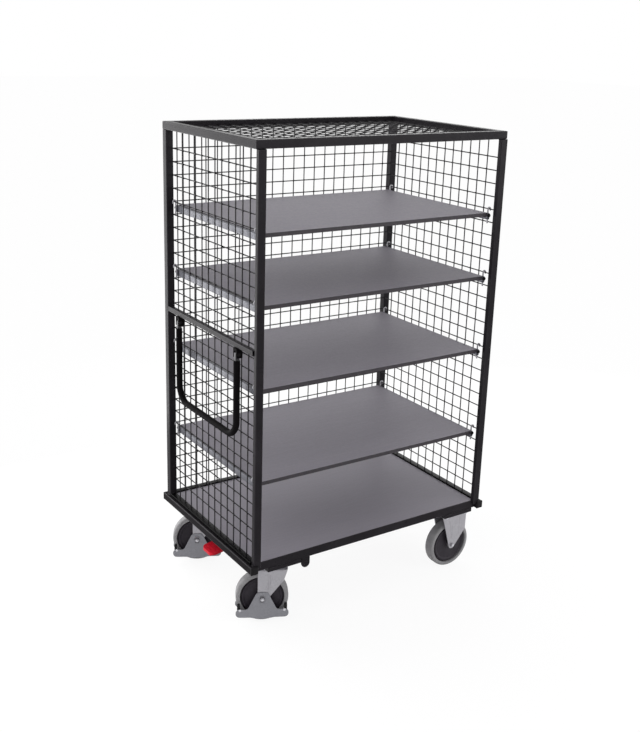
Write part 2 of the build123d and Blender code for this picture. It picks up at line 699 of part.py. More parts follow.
def swivel_plate(side_y):
    """Top plate with the upper bearing disc and the hollow kingpin."""
    length, width, sheet = SWIVEL_PLATE
    under = CASTOR_HEIGHT - sheet
    plate = chamfer(Box(length, width, sheet).edges().filter_by(Axis.Z), PLATE_CHAMFER)
    plate = Pos(0, 0, CASTOR_HEIGHT - sheet / 2) * plate
    cup = bar((0, 0, under - CUP_HEIGHT), (0, 0, under), RegularPolygon(CUP_RADIUS, RACE_SIDES))
    nut_top = SWIVEL_CROWN_TOP - FORK_SHEET - BEARING_PLAY
    nut_foot = (0, 0, nut_top - KINGPIN_NUT_HEIGHT)
    pin = bar(nut_foot, (0, 0, under), RegularPolygon(KINGPIN_RADIUS, KINGPIN_SIDES))
    nut = bar(nut_foot, (0, 0, nut_top), RegularPolygon(KINGPIN_NUT_RADIUS, HEX_SIDES))
    plate = plate + cup + pin + nut
    plate -= bar((0, 0, AXLE_Z), (0, 0, CASTOR_HEIGHT + CUT), kingpin_bore())
    return Pos(SWIVEL_X, side_y * SWIVEL_Y, 0) * plate


# Foot guard: two shaped plates on the axle, with bumper pads at their ends

def guard_plates():
    """Bell-shaped plates with a foot at each end and a slot for the axle."""
    right = [(x, AXLE_Z + z) for x, z, _ in GUARD_CORNERS]
    left = [(-x, z) for x, z in reversed(right)]
    radii = [radius for _, _, radius in GUARD_CORNERS]
    shape = outline(right + left, radii + radii[::-1])
    slot = Pos(0, AXLE_Z) * Rectangle(*GUARD_SLOT)
    inner, outer = FORK_OUT, FORK_OUT + GUARD_SHEET
    return [plate_xz(shape - slot, span) for span in ((-outer, -inner), (inner, outer))]


def guard_bumpers():
    """Rubber pads inside the ends of both plates, beside the tyre."""
    section = chamfer(Rectangle(*BUMPER_SECTION).vertices(), BUMPER_CHAMFER)
    near, far = TYRE_WIDTH / 2 + BUMPER_TYRE_GAP, FORK_OUT
    pads = []
    for side_x in (-1, 1):
        place = Pos(side_x * BUMPER_X, AXLE_Z + BUMPER_HEIGHT)
        pads += [plate_xz(place * section, span) for span in ((-far, -near), (near, far))]
    return pads


def on_swivel(side_y):
    """Place of a turned castor whose wheel trails its swivel axis."""
    axis = Pos(SWIVEL_X, side_y * SWIVEL_Y, 0)
    return axis * Rot(0, 0, SWIVEL_TURN) * Pos(-SWIVEL_TRAIL, 0, 0)


# Pedal brake: cross shaft with two arms, lever and pedal, plungers with shoes

def brake_plunger():
    """Rod through the kingpin, with a shoe hollowed to the tyre."""
    foot = (SWIVEL_TRAIL, 0, SHOE_TOP - PLUNGER_SINK)
    shank = bar(foot, (SWIVEL_TRAIL, 0, PLUNGER_TOP), RegularPolygon(PLUNGER_RADIUS, PLUNGER_SIDES))
    x_span = (SWIVEL_TRAIL + SHOE_REAR, SWIVEL_TRAIL + SHOE_FRONT)
    shoe = block(x_span, (-SHOE_WIDTH / 2, SHOE_WIDTH / 2), (AXLE_Z + WHEEL_RADIUS / 2, SHOE_TOP))
    rise = PLUNGER_TRAVEL + PLUNGER_PLAY
    shoe -= bore_y(0, AXLE_Z + rise, WHEEL_RADIUS, (-SHOE_WIDTH, SHOE_WIDTH))
    return shank + shoe


def brake_arm(side_y):
    """Arm over the beam's edge, with a nose above the plunger."""
    y_mid = side_y * SWIVEL_Y
    y_span = (y_mid - ARM_WIDTH / 2, y_mid + ARM_WIDTH / 2)
    bar_foot = ARM_TOP - ARM_BAR_HEIGHT
    half = ARM_HUB_RADIUS / 2
    arm = faceted_y(BRAKE_X, BRAKE_Z, ARM_HUB_RADIUS, ARM_HUB_SIDES, y_span)
    arm += block((BRAKE_X - half, BRAKE_X + half), y_span, (BRAKE_Z, ARM_TOP))
    arm += block((SWIVEL_X - half, BRAKE_X), y_span, (bar_foot, ARM_TOP))
    nose = block((SWIVEL_X - half, SWIVEL_X + half), y_span, (PLUNGER_TOP + PLUNGER_PLAY, ARM_TOP))
    return arm + nose


def brake_shaft():
    """Hexagon cross shaft with both arms welded on."""
    half = POST_OUT_Y - BRAKE_SHAFT_SHORT
    shaft = faceted_y(BRAKE_X, BRAKE_Z, BRAKE_SHAFT_RADIUS, HEX_SIDES, (-half, half))
    for side_y in (-1, 1):
        shaft += brake_arm(side_y)
    return shaft


def brake_lug(side_y):
    """Rounded bearing lug under a side rail."""
    profile = Pos(BRAKE_X, BRAKE_Z) * RegularPolygon(BRAKE_LUG_RADIUS, BRAKE_LUG_SIDES)
    height = BASE_BOTTOM - BRAKE_Z
    profile += Pos(BRAKE_X, BRAKE_Z + height / 2) * Rectangle(2 * BRAKE_LUG_RADIUS, height)
    profile -= Pos(BRAKE_X, BRAKE_Z) * running_bore(BRAKE_SHAFT_RADIUS)
    y_span = sorted((side_y * (POST_OUT_Y - BRAKE_LUG_SHEET), side_y * POST_OUT_Y))
    return plate_xz(profile, y_span)


def pedal_slope(x):
    """Height of the pedal's underside."""
    share = (x - PEDAL_OUTER_X) / (PEDAL_INNER_X - PEDAL_OUTER_X)
    return PEDAL_OUTER_Z + share * (PEDAL_INNER_Z - PEDAL_OUTER_Z)


def brake_lever():
    """Cranked bar from the shaft to the pedal's underside."""
    hub = ARM_HUB_RADIUS
    end_x = PEDAL_OUTER_X + LEVER_SETBACK
    points = (
        (end_x, pedal_slope(end_x)),
        (PEDAL_INNER_X, PEDAL_INNER_Z),
        (BRAKE_X - hub / 2, BRAKE_Z + hub / 3),
        (BRAKE_X - hub / 2, BRAKE_Z - hub / 2),
        (PEDAL_INNER_X + LEVER_DEPTH / 2, PEDAL_INNER_Z - LEVER_DEPTH),
        (end_x, pedal_slope(end_x) - LEVER_DEPTH),
    )
    profile = make_face(Polyline(*points, close=True))
    profile += Pos(BRAKE_X, BRAKE_Z) * RegularPolygon(hub, ARM_HUB_SIDES)
    profile -= Pos(BRAKE_X, BRAKE_Z) * RegularPolygon(BRAKE_SHAFT_RADIUS + FIT, HEX_SIDES)
    return plate_xz(profile, (-LEVER_WIDTH / 2, LEVER_WIDTH / 2))


def pedal_plan():
    """Upright block with the pedal's plan, round at its two outer corners."""
    length = PEDAL_INNER_X - PEDAL_OUTER_X
    plan = Pos(PEDAL_OUTER_X + length / 2, 0) * Rectangle(length, PEDAL_WIDTH)
    plan = fillet(plan.vertices().group_by(Axis.X)[0], PEDAL_CORNER)
    return extrude(plan, amount=BRAKE_Z)


def brake_pedal():
    """Tread plate with a turned-down front lip and grip grooves."""
    lip_x = PEDAL_OUTER_X + PEDAL_LIP
    lip_z = PEDAL_OUTER_Z - PEDAL_LIP
    points = (
        (PEDAL_OUTER_X, lip_z),
        (PEDAL_OUTER_X, PEDAL_OUTER_Z + PEDAL_THICKNESS),
        (PEDAL_INNER_X, PEDAL_INNER_Z + PEDAL_THICKNESS),
        (PEDAL_INNER_X, PEDAL_INNER_Z),
        (lip_x, pedal_slope(lip_x)),
        (lip_x, lip_z),
    )
    pad = plate_xz(make_face(Polyline(*points, close=True)), (-PEDAL_WIDTH / 2, PEDAL_WIDTH / 2))
    pad &= pedal_plan()
    groove_step = (PEDAL_INNER_X - PEDAL_OUTER_X) / (PEDAL_GROOVES + 1)
    for index in range(PEDAL_GROOVES):
        x = PEDAL_OUTER_X + (index + 1) * groove_step
        pad -= Pos(x, 0, pedal_slope(x) + PEDAL_THICKNESS) * Box(*PEDAL_GROOVE_SIZE)
    return pad


# Write every node

LEFT_RIGHT = (("left", -1), ("right", 1))
FRONT_BACK = (("front", -1), ("back", 1))

save("base_end_rails", end_rail(-1), end_rail(1))
save("base_end_caps", *[end_cap(sx, sy) for _, sx in LEFT_RIGHT for _, sy in FRONT_BACK])
save("base_side_rail_front", front_side_rail())
save("base_side_rail_back", back_side_rail())
save("deck_board", deck_board())
save("castor_beam_swivel", swivel_beam())
save("castor_beam_fixed", castor_beam(FIXED_BEAM_X))
for depth_name, side_y in FRONT_BACK:
    save(f"roof_rail_{depth_name}", roof_rail_long(side_y))
for length_name, side_x in LEFT_RIGHT:
    save(f"roof_rail_{length_name}", roof_rail_short(side_x))
    save(f"mesh_{length_name}", *side_mesh(side_x))
    for depth_name, side_y, *sizes in POSTS:
        save(f"post_{depth_name}_{length_name}", post(side_x, side_y, *sizes))
save("mesh_back", *back_mesh())
save("mesh_roof", *roof_mesh())
save("panel_bottom_rails", *panel_bottom_rails())

for number, row in enumerate(SHELF_ROWS, start=1):
    shelf_row_z = TOP_ROW_Z - MESH_PITCH * row
    save(f"shelf_board_{number}", shelf_board(shelf_row_z))
    save(f"shelf_hook_rails_{number}", *shelf_hook_rails(shelf_row_z))

save("handle_cross_rail", handle_cross_rail())
save("handle_pivot_blocks", pivot_block(-1), pivot_block(1))
save("handle_pivot_pins", pivot_pin(-1), pivot_pin(1))
save("handle_tube", handle_tube())
save("handle_tongues", handle_tongue(-1), handle_tongue(1))

save("swivel_plates", swivel_plate(-1), swivel_plate(1))
save("fixed_forks", fixed_fork(-1), fixed_fork(1))
fixed_places = [Pos(FIXED_X, side_y * FIXED_Y, 0) for _, side_y in FRONT_BACK]
save("fixed_axles", *[place * axle(FORK_OUT) for place in fixed_places])
for (depth_name, side_y), fixed_place in zip(FRONT_BACK, fixed_places):
    swivel_place = on_swivel(side_y)
    save(f"swivel_fork_{depth_name}", swivel_place * swivel_fork())
    save(f"swivel_axle_{depth_name}", swivel_place * axle(FORK_OUT + GUARD_SHEET))
    save(f"foot_guard_{depth_name}", *[swivel_place * plate for plate in guard_plates()])
    save(f"guard_bumpers_{depth_name}", *[swivel_place * bar for bar in guard_bumpers()])
    save(f"brake_plunger_{depth_name}", swivel_place * brake_plunger())
    for kind, place in (("swivel", swivel_place), ("fixed", fixed_place)):
        save(f"wheel_core_{kind}_{depth_name}", place * wheel_core())
        save(f"tyre_{kind}_{depth_name}", place * tyre())

save("brake_shaft", brake_shaft())
save("brake_lugs", brake_lug(-1), brake_lug(1))
save("brake_lever", brake_lever())
save("brake_pedal", brake_pedal())
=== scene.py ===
import json
import math

import bpy
from mathutils import Matrix, Vector


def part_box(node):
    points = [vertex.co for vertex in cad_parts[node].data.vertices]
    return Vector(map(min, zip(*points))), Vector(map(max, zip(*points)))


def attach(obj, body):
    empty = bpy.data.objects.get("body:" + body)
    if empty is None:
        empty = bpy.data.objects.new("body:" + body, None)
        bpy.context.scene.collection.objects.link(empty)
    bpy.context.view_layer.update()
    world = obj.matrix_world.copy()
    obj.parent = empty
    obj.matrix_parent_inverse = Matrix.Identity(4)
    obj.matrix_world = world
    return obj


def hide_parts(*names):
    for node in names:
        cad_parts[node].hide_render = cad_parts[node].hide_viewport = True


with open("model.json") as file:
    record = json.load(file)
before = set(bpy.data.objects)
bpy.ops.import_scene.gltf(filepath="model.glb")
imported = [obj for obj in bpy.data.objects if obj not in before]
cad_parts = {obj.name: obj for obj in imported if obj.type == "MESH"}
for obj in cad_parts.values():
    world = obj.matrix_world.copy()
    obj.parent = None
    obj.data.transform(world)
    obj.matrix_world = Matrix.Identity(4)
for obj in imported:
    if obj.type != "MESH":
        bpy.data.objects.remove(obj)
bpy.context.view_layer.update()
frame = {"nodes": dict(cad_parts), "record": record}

# Shelf trolley: looks. Lengths are in metres in the frame of the solids.
NODES = frame["nodes"]
JOINTS = {joint["name"]: joint for joint in frame["record"]["behaviour"]["joints"]}
SCENE = bpy.context.scene
FRONT_BACK = (("front", -1), ("back", 1))
LEFT_RIGHT = (("left", -1), ("right", 1))
SHELF_NUMBERS = (1, 2, 3, 4)
BOTH_WAYS = (-1, 1)
X_AXIS = (1, 0, 0)
Y_AXIS = (0, 1, 0)
Z_AXIS = (0, 0, 1)
DOWN = (0, 0, -1)

# Welded mesh
MESH_PITCH = 0.050
WALL_WIRE_RADIUS = 0.0022
ROOF_WIRE_RADIUS = 0.00175
WIRE_SIDES = 10
SIDE_LEVEL_X = 0.5175
SIDE_UPRIGHT_X = SIDE_LEVEL_X + 2 * WALL_WIRE_RADIUS
BACK_LEVEL_Y = 0.3225
BACK_UPRIGHT_Y = BACK_LEVEL_Y + 2 * WALL_WIRE_RADIUS
ROOF_UPPER_Z = 1.7975
ROOF_LOWER_Z = ROOF_UPPER_Z - 2 * ROOF_WIRE_RADIUS
TOP_ROW_Z = 1.716
ROW_COUNT = 28
SIDE_COUNT = 12
LONG_COUNT = 20
ROW_HEIGHTS = [TOP_ROW_Z - MESH_PITCH * row for row in range(ROW_COUNT)]
SIDE_COLUMNS = [(index - (SIDE_COUNT - 1) / 2) * MESH_PITCH for index in range(SIDE_COUNT)]
LONG_COLUMNS = [(index - (LONG_COUNT - 1) / 2) * MESH_PITCH for index in range(LONG_COUNT)]

# Faces of the frame that wires and welds end on
ROOF_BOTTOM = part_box("roof_rail_front")[0].z
ROOF_IN_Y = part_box("roof_rail_back")[0].y
CAGE_OUT_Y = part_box("roof_rail_back")[1].y
ROOF_IN_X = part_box("roof_rail_right")[0].x
FRONT_POST_IN_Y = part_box("post_front_right")[1].y
BACK_POST_IN_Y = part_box("post_back_right")[0].y
BACK_POST_IN_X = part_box("post_back_right")[0].x
END_RAIL_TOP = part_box("base_end_rails")[1].z
DECK_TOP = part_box("deck_board")[1].z

# Flat bars at the feet of the panels
PANEL_BAR_DEPTH = 0.025
PANEL_BAR_CORNER = 0.0010
SIDE_BAR_HEIGHT = 0.010
BACK_BAR_HEIGHT = 0.005
SIDE_BAR_TOP = END_RAIL_TOP + SIDE_BAR_HEIGHT
BACK_BAR_TOP = DECK_TOP + BACK_BAR_HEIGHT

# Shelf rails, their hooks and their end caps
RAIL_WIDTH = 0.012
RAIL_HEIGHT = 0.025
RAIL_SINK = 0.002
RAIL_CORNER = 0.0030
WIRE_OVER_BOARD = 0.012
HOOK_PLACES = (-0.311, 0.311)
HOOK_RADIUS = 0.003
HOOK_SIDES = 12
HOOK_CROOK = 0.0059
HOOK_CROOK_STEPS = 12
HOOK_TAIL = 0.055
HOOK_TIP = 0.0045
CAP_OUT = 0.002
CAP_UP = 0.003
CAP_SIDES = 24
# Section of a rail's round end cap as radius and height over the rail's end
CAP_SECTION = ((0.0075, -0.0005), (0.0075, 0.0022), (0.0065, 0.0035), (0.0035, 0.0040))

# Push handle and its pivots
HANDLE_X, _, HANDLE_AXIS_Z = JOINTS["handle_fold"]["pos_m"]
HANDLE_LEG_Y = 0.228
HANDLE_LEG_TOP = 1.040
HANDLE_BAR_Z = 0.7505
HANDLE_BEND = 0.065
HANDLE_BEND_STEPS = 16
HANDLE_RADIUS = 0.0120
HANDLE_SIDES = 28
PIVOT_HALF = 0.015
# Rivet heads are given as radius and height
PIVOT_RIVET = (0.0062, 0.0026)

# Castors
WHEEL_RADIUS = 0.100
WHEEL_SIDES = 96
TYRE_SEAT = 0.084
TYRE_HALF = 0.022
CORE_HALF = 0.0185
CORE_DISH = 0.0036
CORE_GROOVE = 0.0055
FORK_OUT = 0.035
GUARD_OUT = 0.038
AXLE_HEAD = 0.007
AXLE_THREAD = 0.0046

# Bolts of the castor plates, with their distances from the middle of a plate
SWIVEL_PLATE_BOTTOM = 0.244
SWIVEL_BOLTS = (0.0525, 0.0400)
FIXED_PLATE_BOTTOM = 0.245
FIXED_PLATE_SHIFT = 0.006
FIXED_BOLTS = (0.0500, 0.0450)
BOLT_RADIUS = 0.0070
BOLT_HEIGHT = 0.0055
WASHER_RADIUS = BOLT_RADIUS * 1.35
WASHER_SHEET = 0.0016
WASHER_SIDES = 24

# Pressed beads of the forks as place along the wheel and lower and upper end, from the axle
FORK_BEADS = {"swivel": (0.026, 0.032, 0.106), "fixed": (0.0, 0.028, 0.092)}
FORK_BEAD_RADIUS = 0.0032
FORK_BEAD_SIDES = 16
FORK_BEAD_SINK = 0.0018
FORK_BEAD_TAPER = 0.006
FORK_BEAD_SWELL = (0.45, 1.0, 1.0, 0.45)

# Foot guards: rim of the slot for the axle, and rivets with their places from the axle
SLOT_WIDTH = 0.021
SLOT_HEIGHT = 0.031
SLOT_FLAT = 0.0005
SLOT_RIM = 0.0011
SLOT_RIM_SIDES = 8
GUARD_RIVET_X = 0.084
GUARD_RIVET_Z = -0.047
GUARD_RIVET = (0.0055, 0.0030)


# Materials. Texture scales are in waves a metre, for drawn-out grain along X, Y and Z each.

# Colour sockets of a Mix node, which share their names with its other sockets
MIX_FACTOR = 0
MIX_FIRST = 6
MIX_SECOND = 7
MIX_RESULT = 2

BOARD_GRAIN = (9.0, 150.0, 150.0)
BOARD_FACE = ((0.203, 0.191, 0.219), (0.243, 0.229, 0.262))
BOARD_SPECKLE = (0.229, 0.216, 0.248)
BOARD_BAND = ((0.021, 0.017, 0.022), (0.032, 0.027, 0.033))
PEDAL_GRAIN = (900.0, 60.0, 900.0)
PEDAL_FACE = ((0.50, 0.004, 0.017), (0.61, 0.006, 0.023))
PEDAL_SCUFF = (0.40, 0.006, 0.018)


class Tree:
    """Shader nodes of a material or of the world."""

    def __init__(self, owner):
        owner.use_nodes = True
        self.nodes = owner.node_tree.nodes
        self.links = owner.node_tree.links

    def feed(self, target, source):
        """Set an input from another node's socket, or from a number, vector or colour."""
        if isinstance(source, bpy.types.NodeSocket):
            self.links.new(source, target)
        elif target.type == "RGBA":
            target.default_value = (*source, 1.0)
        else:
            target.default_value = source

    def node(self, kind, feeds=None, **settings):
        """New node with settings, and with inputs fed by their names or numbers."""
        made = self.nodes.new(kind)
        for key, value in settings.items():
            setattr(made, key, value)
        for key, source in (feeds or {}).items():
            self.feed(made.inputs[key], source)
        return made

    def spread(self, value, low=0.0, high=1.0, start=0.3, end=0.7):
        """Number that goes from low to high while a value goes from start to end."""
        feeds = {"Value": value, "From Min": start, "From Max": end, "To Min": low, "To Max": high}
        return self.node("ShaderNodeMapRange", feeds).outputs["Result"]


class Material(Tree):
    """Principled material whose inputs are fed by small chains of texture nodes."""

    def __init__(self, name, **constants):
        self.data = bpy.data.materials.new(name)
        super().__init__(self.data)
        self.shader = self.nodes["Principled BSDF"]
        for socket, value in constants.items():
            self.feed(self.shader.inputs[socket.replace("_", " ")], value)
        self.place = self.node("ShaderNodeTexCoord").outputs["Object"]

    def noise(self, scale, detail=3.0, roughness=0.55, vector=None):
        feeds = {"Vector": vector or self.place, "Scale": scale, "Detail": detail, "Roughness": roughness}
        return self.node("ShaderNodeTexNoise", feeds).outputs["Fac"]

    def grain(self, scales, detail):
        """Noise that is drawn out along the axis of the lowest scale."""
        mapping = self.node("ShaderNodeMapping", {"Vector": self.place, "Scale": scales})
        return self.noise(1.0, detail, roughness=0.6, vector=mapping.outputs["Vector"])

    def cells(self, scale):
        return self.node("ShaderNodeTexVoronoi", {"Vector": self.place, "Scale": scale}).outputs["Color"]

    def between(self, factor, first, second):
        """Colour mixed from two sources, each a colour or a socket."""
        feeds = {MIX_FACTOR: factor, MIX_FIRST: first, MIX_SECOND: second}
        return self.node("ShaderNodeMix", feeds, data_type="RGBA").outputs[MIX_RESULT]

    def flatness(self):
        """One on faces that look up or down, nought on upright faces."""
        normal = self.node("ShaderNodeNewGeometry").outputs["True Normal"]
        upwards = self.node("ShaderNodeSeparateXYZ", {"Vector": normal}).outputs["Z"]
        size = self.node("ShaderNodeMath", {0: upwards}, operation="ABSOLUTE")
        return self.spread(size.outputs[0], start=0.75, end=0.95)

    def colour(self, source):
        self.feed(self.shader.inputs["Base Color"], source)

    def rough(self, source):
        self.feed(self.shader.inputs["Roughness"], source)

    def bump(self, height, strength, distance):
        made = self.node("ShaderNodeBump", {"Height": height, "Strength": strength, "Distance": distance})
        self.feed(self.shader.inputs["Normal"], made.outputs["Normal"])


def powder_coat(name, dark, light, rough, gloss):
    """Stoved powder coat: cloudy tone, orange peel and a few duller patches."""
    coat = Material(name, Specular_IOR_Level=gloss)
    cloud = coat.noise(7.0)
    patches = coat.noise(85.0, detail=2.0)
    peel = coat.noise(750.0, detail=2.0)
    coat.colour(coat.between(coat.spread(cloud), dark, light))
    coat.rough(coat.spread(patches, *rough))
    coat.bump(peel, strength=0.16, distance=0.0005)
    return coat.data


def board_laminate(name):
    """Grey faced board with faint grain, and a darker band on its edges."""
    board = Material(name, Specular_IOR_Level=0.35)
    grain = board.grain(BOARD_GRAIN, detail=5.0)
    speckle = board.noise(420.0)
    band_grain = board.noise(260.0)
    patches = board.noise(120.0, detail=2.0)
    texture = board.noise(900.0, detail=2.0)
    face = board.between(board.spread(grain), *BOARD_FACE)
    face = board.between(board.spread(speckle), face, BOARD_SPECKLE)
    band = board.between(board.spread(band_grain), *BOARD_BAND)
    board.colour(board.between(board.flatness(), band, face))
    board.rough(board.spread(patches, 0.50, 0.64))
    board.bump(texture, strength=0.10, distance=0.0004)
    return board.data


def zinc(name, dark, light, metallic, rough):
    """Plated or grey coated sheet with spangle, clouding and fine grain."""
    plate = Material(name, Metallic=metallic)
    middle = tuple((a + b) / 2 for a, b in zip(dark, light))
    spangle = plate.spread(plate.cells(170.0), start=0.0, end=1.0)
    cloud = plate.spread(plate.noise(24.0, detail=4.0))
    patches = plate.noise(200.0)
    texture = plate.noise(600.0)
    plate.colour(plate.between(cloud, plate.between(spangle, dark, light), middle))
    plate.rough(plate.spread(patches, *rough))
    plate.bump(texture, strength=0.10, distance=0.0003)
    return plate.data


def moulded(name, dark, light, rough, grain, gloss):
    """Rubber or plastic with a fine moulded grain and dull patches."""
    piece = Material(name, Specular_IOR_Level=gloss)
    cloud = piece.noise(30.0, detail=4.0)
    patches = piece.noise(110.0)
    texture = piece.noise(grain, detail=2.0)
    piece.colour(piece.between(piece.spread(cloud), dark, light))
    piece.rough(piece.spread(patches, *rough))
    piece.bump(texture, strength=0.2, distance=0.0005)
    return piece.data


def trodden_red(name):
    """Red plastic with fine scuffs along its grooves."""
    pedal = Material(name, Specular_IOR_Level=0.15)
    cloud = pedal.noise(45.0, detail=4.0)
    scuff = pedal.grain(PEDAL_GRAIN, detail=4.0)
    texture = pedal.noise(700.0, detail=2.0)
    tone = pedal.between(pedal.spread(cloud), *PEDAL_FACE)
    worn = pedal.spread(scuff, high=0.25, start=0.58, end=0.75)
    pedal.colour(pedal.between(worn, tone, PEDAL_SCUFF))
    pedal.rough(pedal.spread(scuff, 0.40, 0.58))
    pedal.bump(texture, strength=0.14, distance=0.0004)
    return pedal.data


FRAME_BLACK = powder_coat(
    "frame_black_coat", dark=(0.0135, 0.0120, 0.0142), light=(0.0205, 0.0185, 0.0215),
    rough=(0.26, 0.36), gloss=0.05,
)
# Lighter coat on the frame's rounded edges: a painted highlight along the corners
FRAME_EDGE_HIGHLIGHT = powder_coat(
    "frame_black_edge_highlight", dark=(0.018, 0.016, 0.019), light=(0.026, 0.0235, 0.027),
    rough=(0.30, 0.40), gloss=0.10,
)
MESH_BLACK = powder_coat(
    "mesh_black_coat", dark=(0.010, 0.009, 0.0105), light=(0.015, 0.0135, 0.0155),
    rough=(0.34, 0.44), gloss=0.12,
)
HANDLE_BLACK = powder_coat(
    "handle_black_coat", dark=(0.004, 0.0035, 0.004), light=(0.007, 0.006, 0.007),
    rough=(0.55, 0.65), gloss=0.02,
)
# Darker copy of the frame coat for the base end rails: painted shade of the low, less lit part of the
# frame
BASE_SHADED_BLACK = powder_coat(
    "base_black_painted_shade", dark=(0.0085, 0.0076, 0.0088), light=(0.0125, 0.0113, 0.0130),
    rough=(0.40, 0.50), gloss=0.02,
)
# Near-black copy of the frame coat for the panels' foot bars: painted shade of the gap between the panels
# and the base
PANEL_SHADE_BLACK = powder_coat(
    "panel_black_painted_shade", dark=(0.0022, 0.0020, 0.0022), light=(0.0036, 0.0033, 0.0036),
    rough=(0.22, 0.30), gloss=0.05,
)
BOARD_GREY = board_laminate("board_grey_laminate")
ZINC = zinc(
    "zinc_plate", dark=(0.315, 0.310, 0.332), light=(0.415, 0.405, 0.432),
    metallic=0.70, rough=(0.36, 0.50),
)
ZINC_BRIGHT = zinc(
    "zinc_bright", dark=(0.50, 0.50, 0.53), light=(0.64, 0.64, 0.67),
    metallic=0.90, rough=(0.25, 0.38),
)
# Dark copy of the zinc for the handle's tongues: painted shade under the pivot blocks
ZINC_SHADED = zinc(
    "zinc_painted_shade", dark=(0.030, 0.029, 0.032), light=(0.055, 0.054, 0.058),
    metallic=0.60, rough=(0.42, 0.55),
)
RAIL_GREY = zinc(
    "rail_grey", dark=(0.101, 0.102, 0.121), light=(0.132, 0.133, 0.155),
    metallic=0.35, rough=(0.38, 0.50),
)
GUARD_GREY = zinc(
    "guard_grey_coat", dark=(0.205, 0.206, 0.226), light=(0.260, 0.261, 0.283),
    metallic=0.35, rough=(0.42, 0.55),
)
TYRE_GREY = moulded(
    "tyre_grey_rubber", dark=(0.228, 0.226, 0.232), light=(0.290, 0.287, 0.294),
    rough=(0.70, 0.85), grain=650.0, gloss=0.30,
)
WHEEL_DARK = moulded(
    "wheel_dark_cast", dark=(0.019, 0.0155, 0.021), light=(0.030, 0.0255, 0.033),
    rough=(0.40, 0.55), grain=900.0, gloss=0.18,
)
RUBBER_BLACK = moulded(
    "rubber_black", dark=(0.007, 0.007, 0.007), light=(0.012, 0.012, 0.012),
    rough=(0.65, 0.80), grain=650.0, gloss=0.20,
)
PLASTIC_BLACK = moulded(
    "plastic_black", dark=(0.008, 0.007, 0.008), light=(0.013, 0.012, 0.013),
    rough=(0.42, 0.54), grain=850.0, gloss=0.08,
)
PIVOT_BLACK = moulded(
    "pivot_black", dark=(0.0030, 0.0027, 0.0030), light=(0.0050, 0.0045, 0.0050),
    rough=(0.55, 0.65), grain=850.0, gloss=0.02,
)
PEDAL_RED = trodden_red("pedal_red_plastic")
SLOT_MATERIALS = {
    "frame_black": FRAME_BLACK,
    "board_grey": BOARD_GREY,
    "zinc": ZINC,
    "guard_grey": GUARD_GREY,
    "tyre_grey": TYRE_GREY,
    "wheel_dark": WHEEL_DARK,
    "rubber_black": RUBBER_BLACK,
    "plastic_black": PLASTIC_BLACK,
    "pedal_red": PEDAL_RED,
}
# Nodes whose material differs from that of their slot
NODE_MATERIALS = {
    # The tongues' near-black zinc is painted shade under the pivot blocks
    "handle_tongues": ZINC_SHADED,
    "handle_pivot_blocks": PIVOT_BLACK,
    # The base end rails' darker coat is painted shade
    "base_end_rails": BASE_SHADED_BLACK,
}


# Meshes

SHARP_ANGLE = math.radians(38.0)
CORNER_STEPS = 4
# Rings of a rounded tip, as shares of its radius beyond the end
TIP_SHARES = (0.5, 0.87)


class Shape:
    """Vertices and faces of one piece, collected from simple swept forms."""

    def __init__(self):
        self.verts = []
        self.faces = []

    def rings(self, rings, closed=False):
        """Skin over rings of equal count, joined into a loop or closed by flat ends."""
        count = len(rings[0])
        base = len(self.verts)
        for ring in rings:
            self.verts.extend(tuple(point) for point in ring)
        spans = len(rings) if closed else len(rings) - 1
        for span in range(spans):
            near = base + span * count
            far = base + (span + 1) % len(rings) * count
            for index in range(count):
                after = (index + 1) % count
                self.faces.append((near + index, near + after, far + after, far + index))
        if not closed:
            self.faces.append(tuple(reversed(range(base, base + count))))
            last = base + (len(rings) - 1) * count
            self.faces.append(tuple(range(last, last + count)))

    def tube(self, points, radius, sides, normal, dome=False, swell=None):
        """Round bar along a planar path. The path lies across the given normal."""
        points = [Vector(point) for point in points]
        normal = Vector(normal).normalized()
        rings = []
        for index, point in enumerate(points):
            ahead = points[min(index + 1, len(points) - 1)]
            behind = points[max(index - 1, 0)]
            across = (ahead - behind).normalized().cross(normal)
            size = radius * (swell[index] if swell else 1.0)
            rings.append(circle(point, normal, across, size, sides))
        if dome:
            along = (points[-1] - points[-2]).normalized()
            across = along.cross(normal)
            for share in TIP_SHARES:
                tip = points[-1] + along * radius * share
                rings.append(circle(tip, normal, across, radius * math.sqrt(1 - share * share), sides))
        self.rings(rings)

    def lathe(self, profile, place, segments):
        """Turn a closed profile of radius and length about the Y axis of a place."""
        rings = []
        for step in range(segments):
            angle = 2 * math.pi * step / segments
            rings.append([
                place @ Vector((radius * math.cos(angle), along, radius * math.sin(angle)))
                for radius, along in profile
            ])
        self.rings(rings, closed=True)

    def turned(self, profile, place, sides):
        """Stack of rings of radius and height about the Z axis of a place, closed at both ends."""
        angles = [2 * math.pi * step / sides for step in range(sides)]
        rings = []
        for radius, height in profile:
            rings.append([
                place @ Vector((radius * math.cos(angle), radius * math.sin(angle), height))
                for angle in angles
            ])
        self.rings(rings)

    def piece(self, name, body, material, slot, replaced=()):
        """Make the object, set it on its body and hide the nodes that it stands for."""
        mesh = bpy.data.meshes.new(name)
        mesh.from_pydata(self.verts, [], self.faces)
        mesh.validate()
        mesh.materials.append(material)
        mesh.shade_smooth()
        mesh.set_sharp_from_angle(angle=SHARP_ANGLE)
        made = bpy.data.objects.new(name, mesh)
        SCENE.collection.objects.link(made)
        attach(made, body)
        if replaced:
            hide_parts(*replaced)


def circle(middle, first, second, radius, sides):
    """Ring of points drawn with two unit directions."""
    points = []
    for step in range(sides):
        angle = 2 * math.pi * step / sides
        points.append(middle + radius * (math.cos(angle) * first + math.sin(angle) * second))
    return points


def arc(middle, first, second, radius, degrees, steps):
    """Points on a circle from the first of two unit directions, through an angle towards the second."""
    middle, first, second = Vector(middle), Vector(first), Vector(second)
    points = []
    for step in range(steps + 1):
        angle = math.radians(degrees * step / steps)
        points.append(middle + radius * (math.cos(angle) * first + math.sin(angle) * second))
    return points


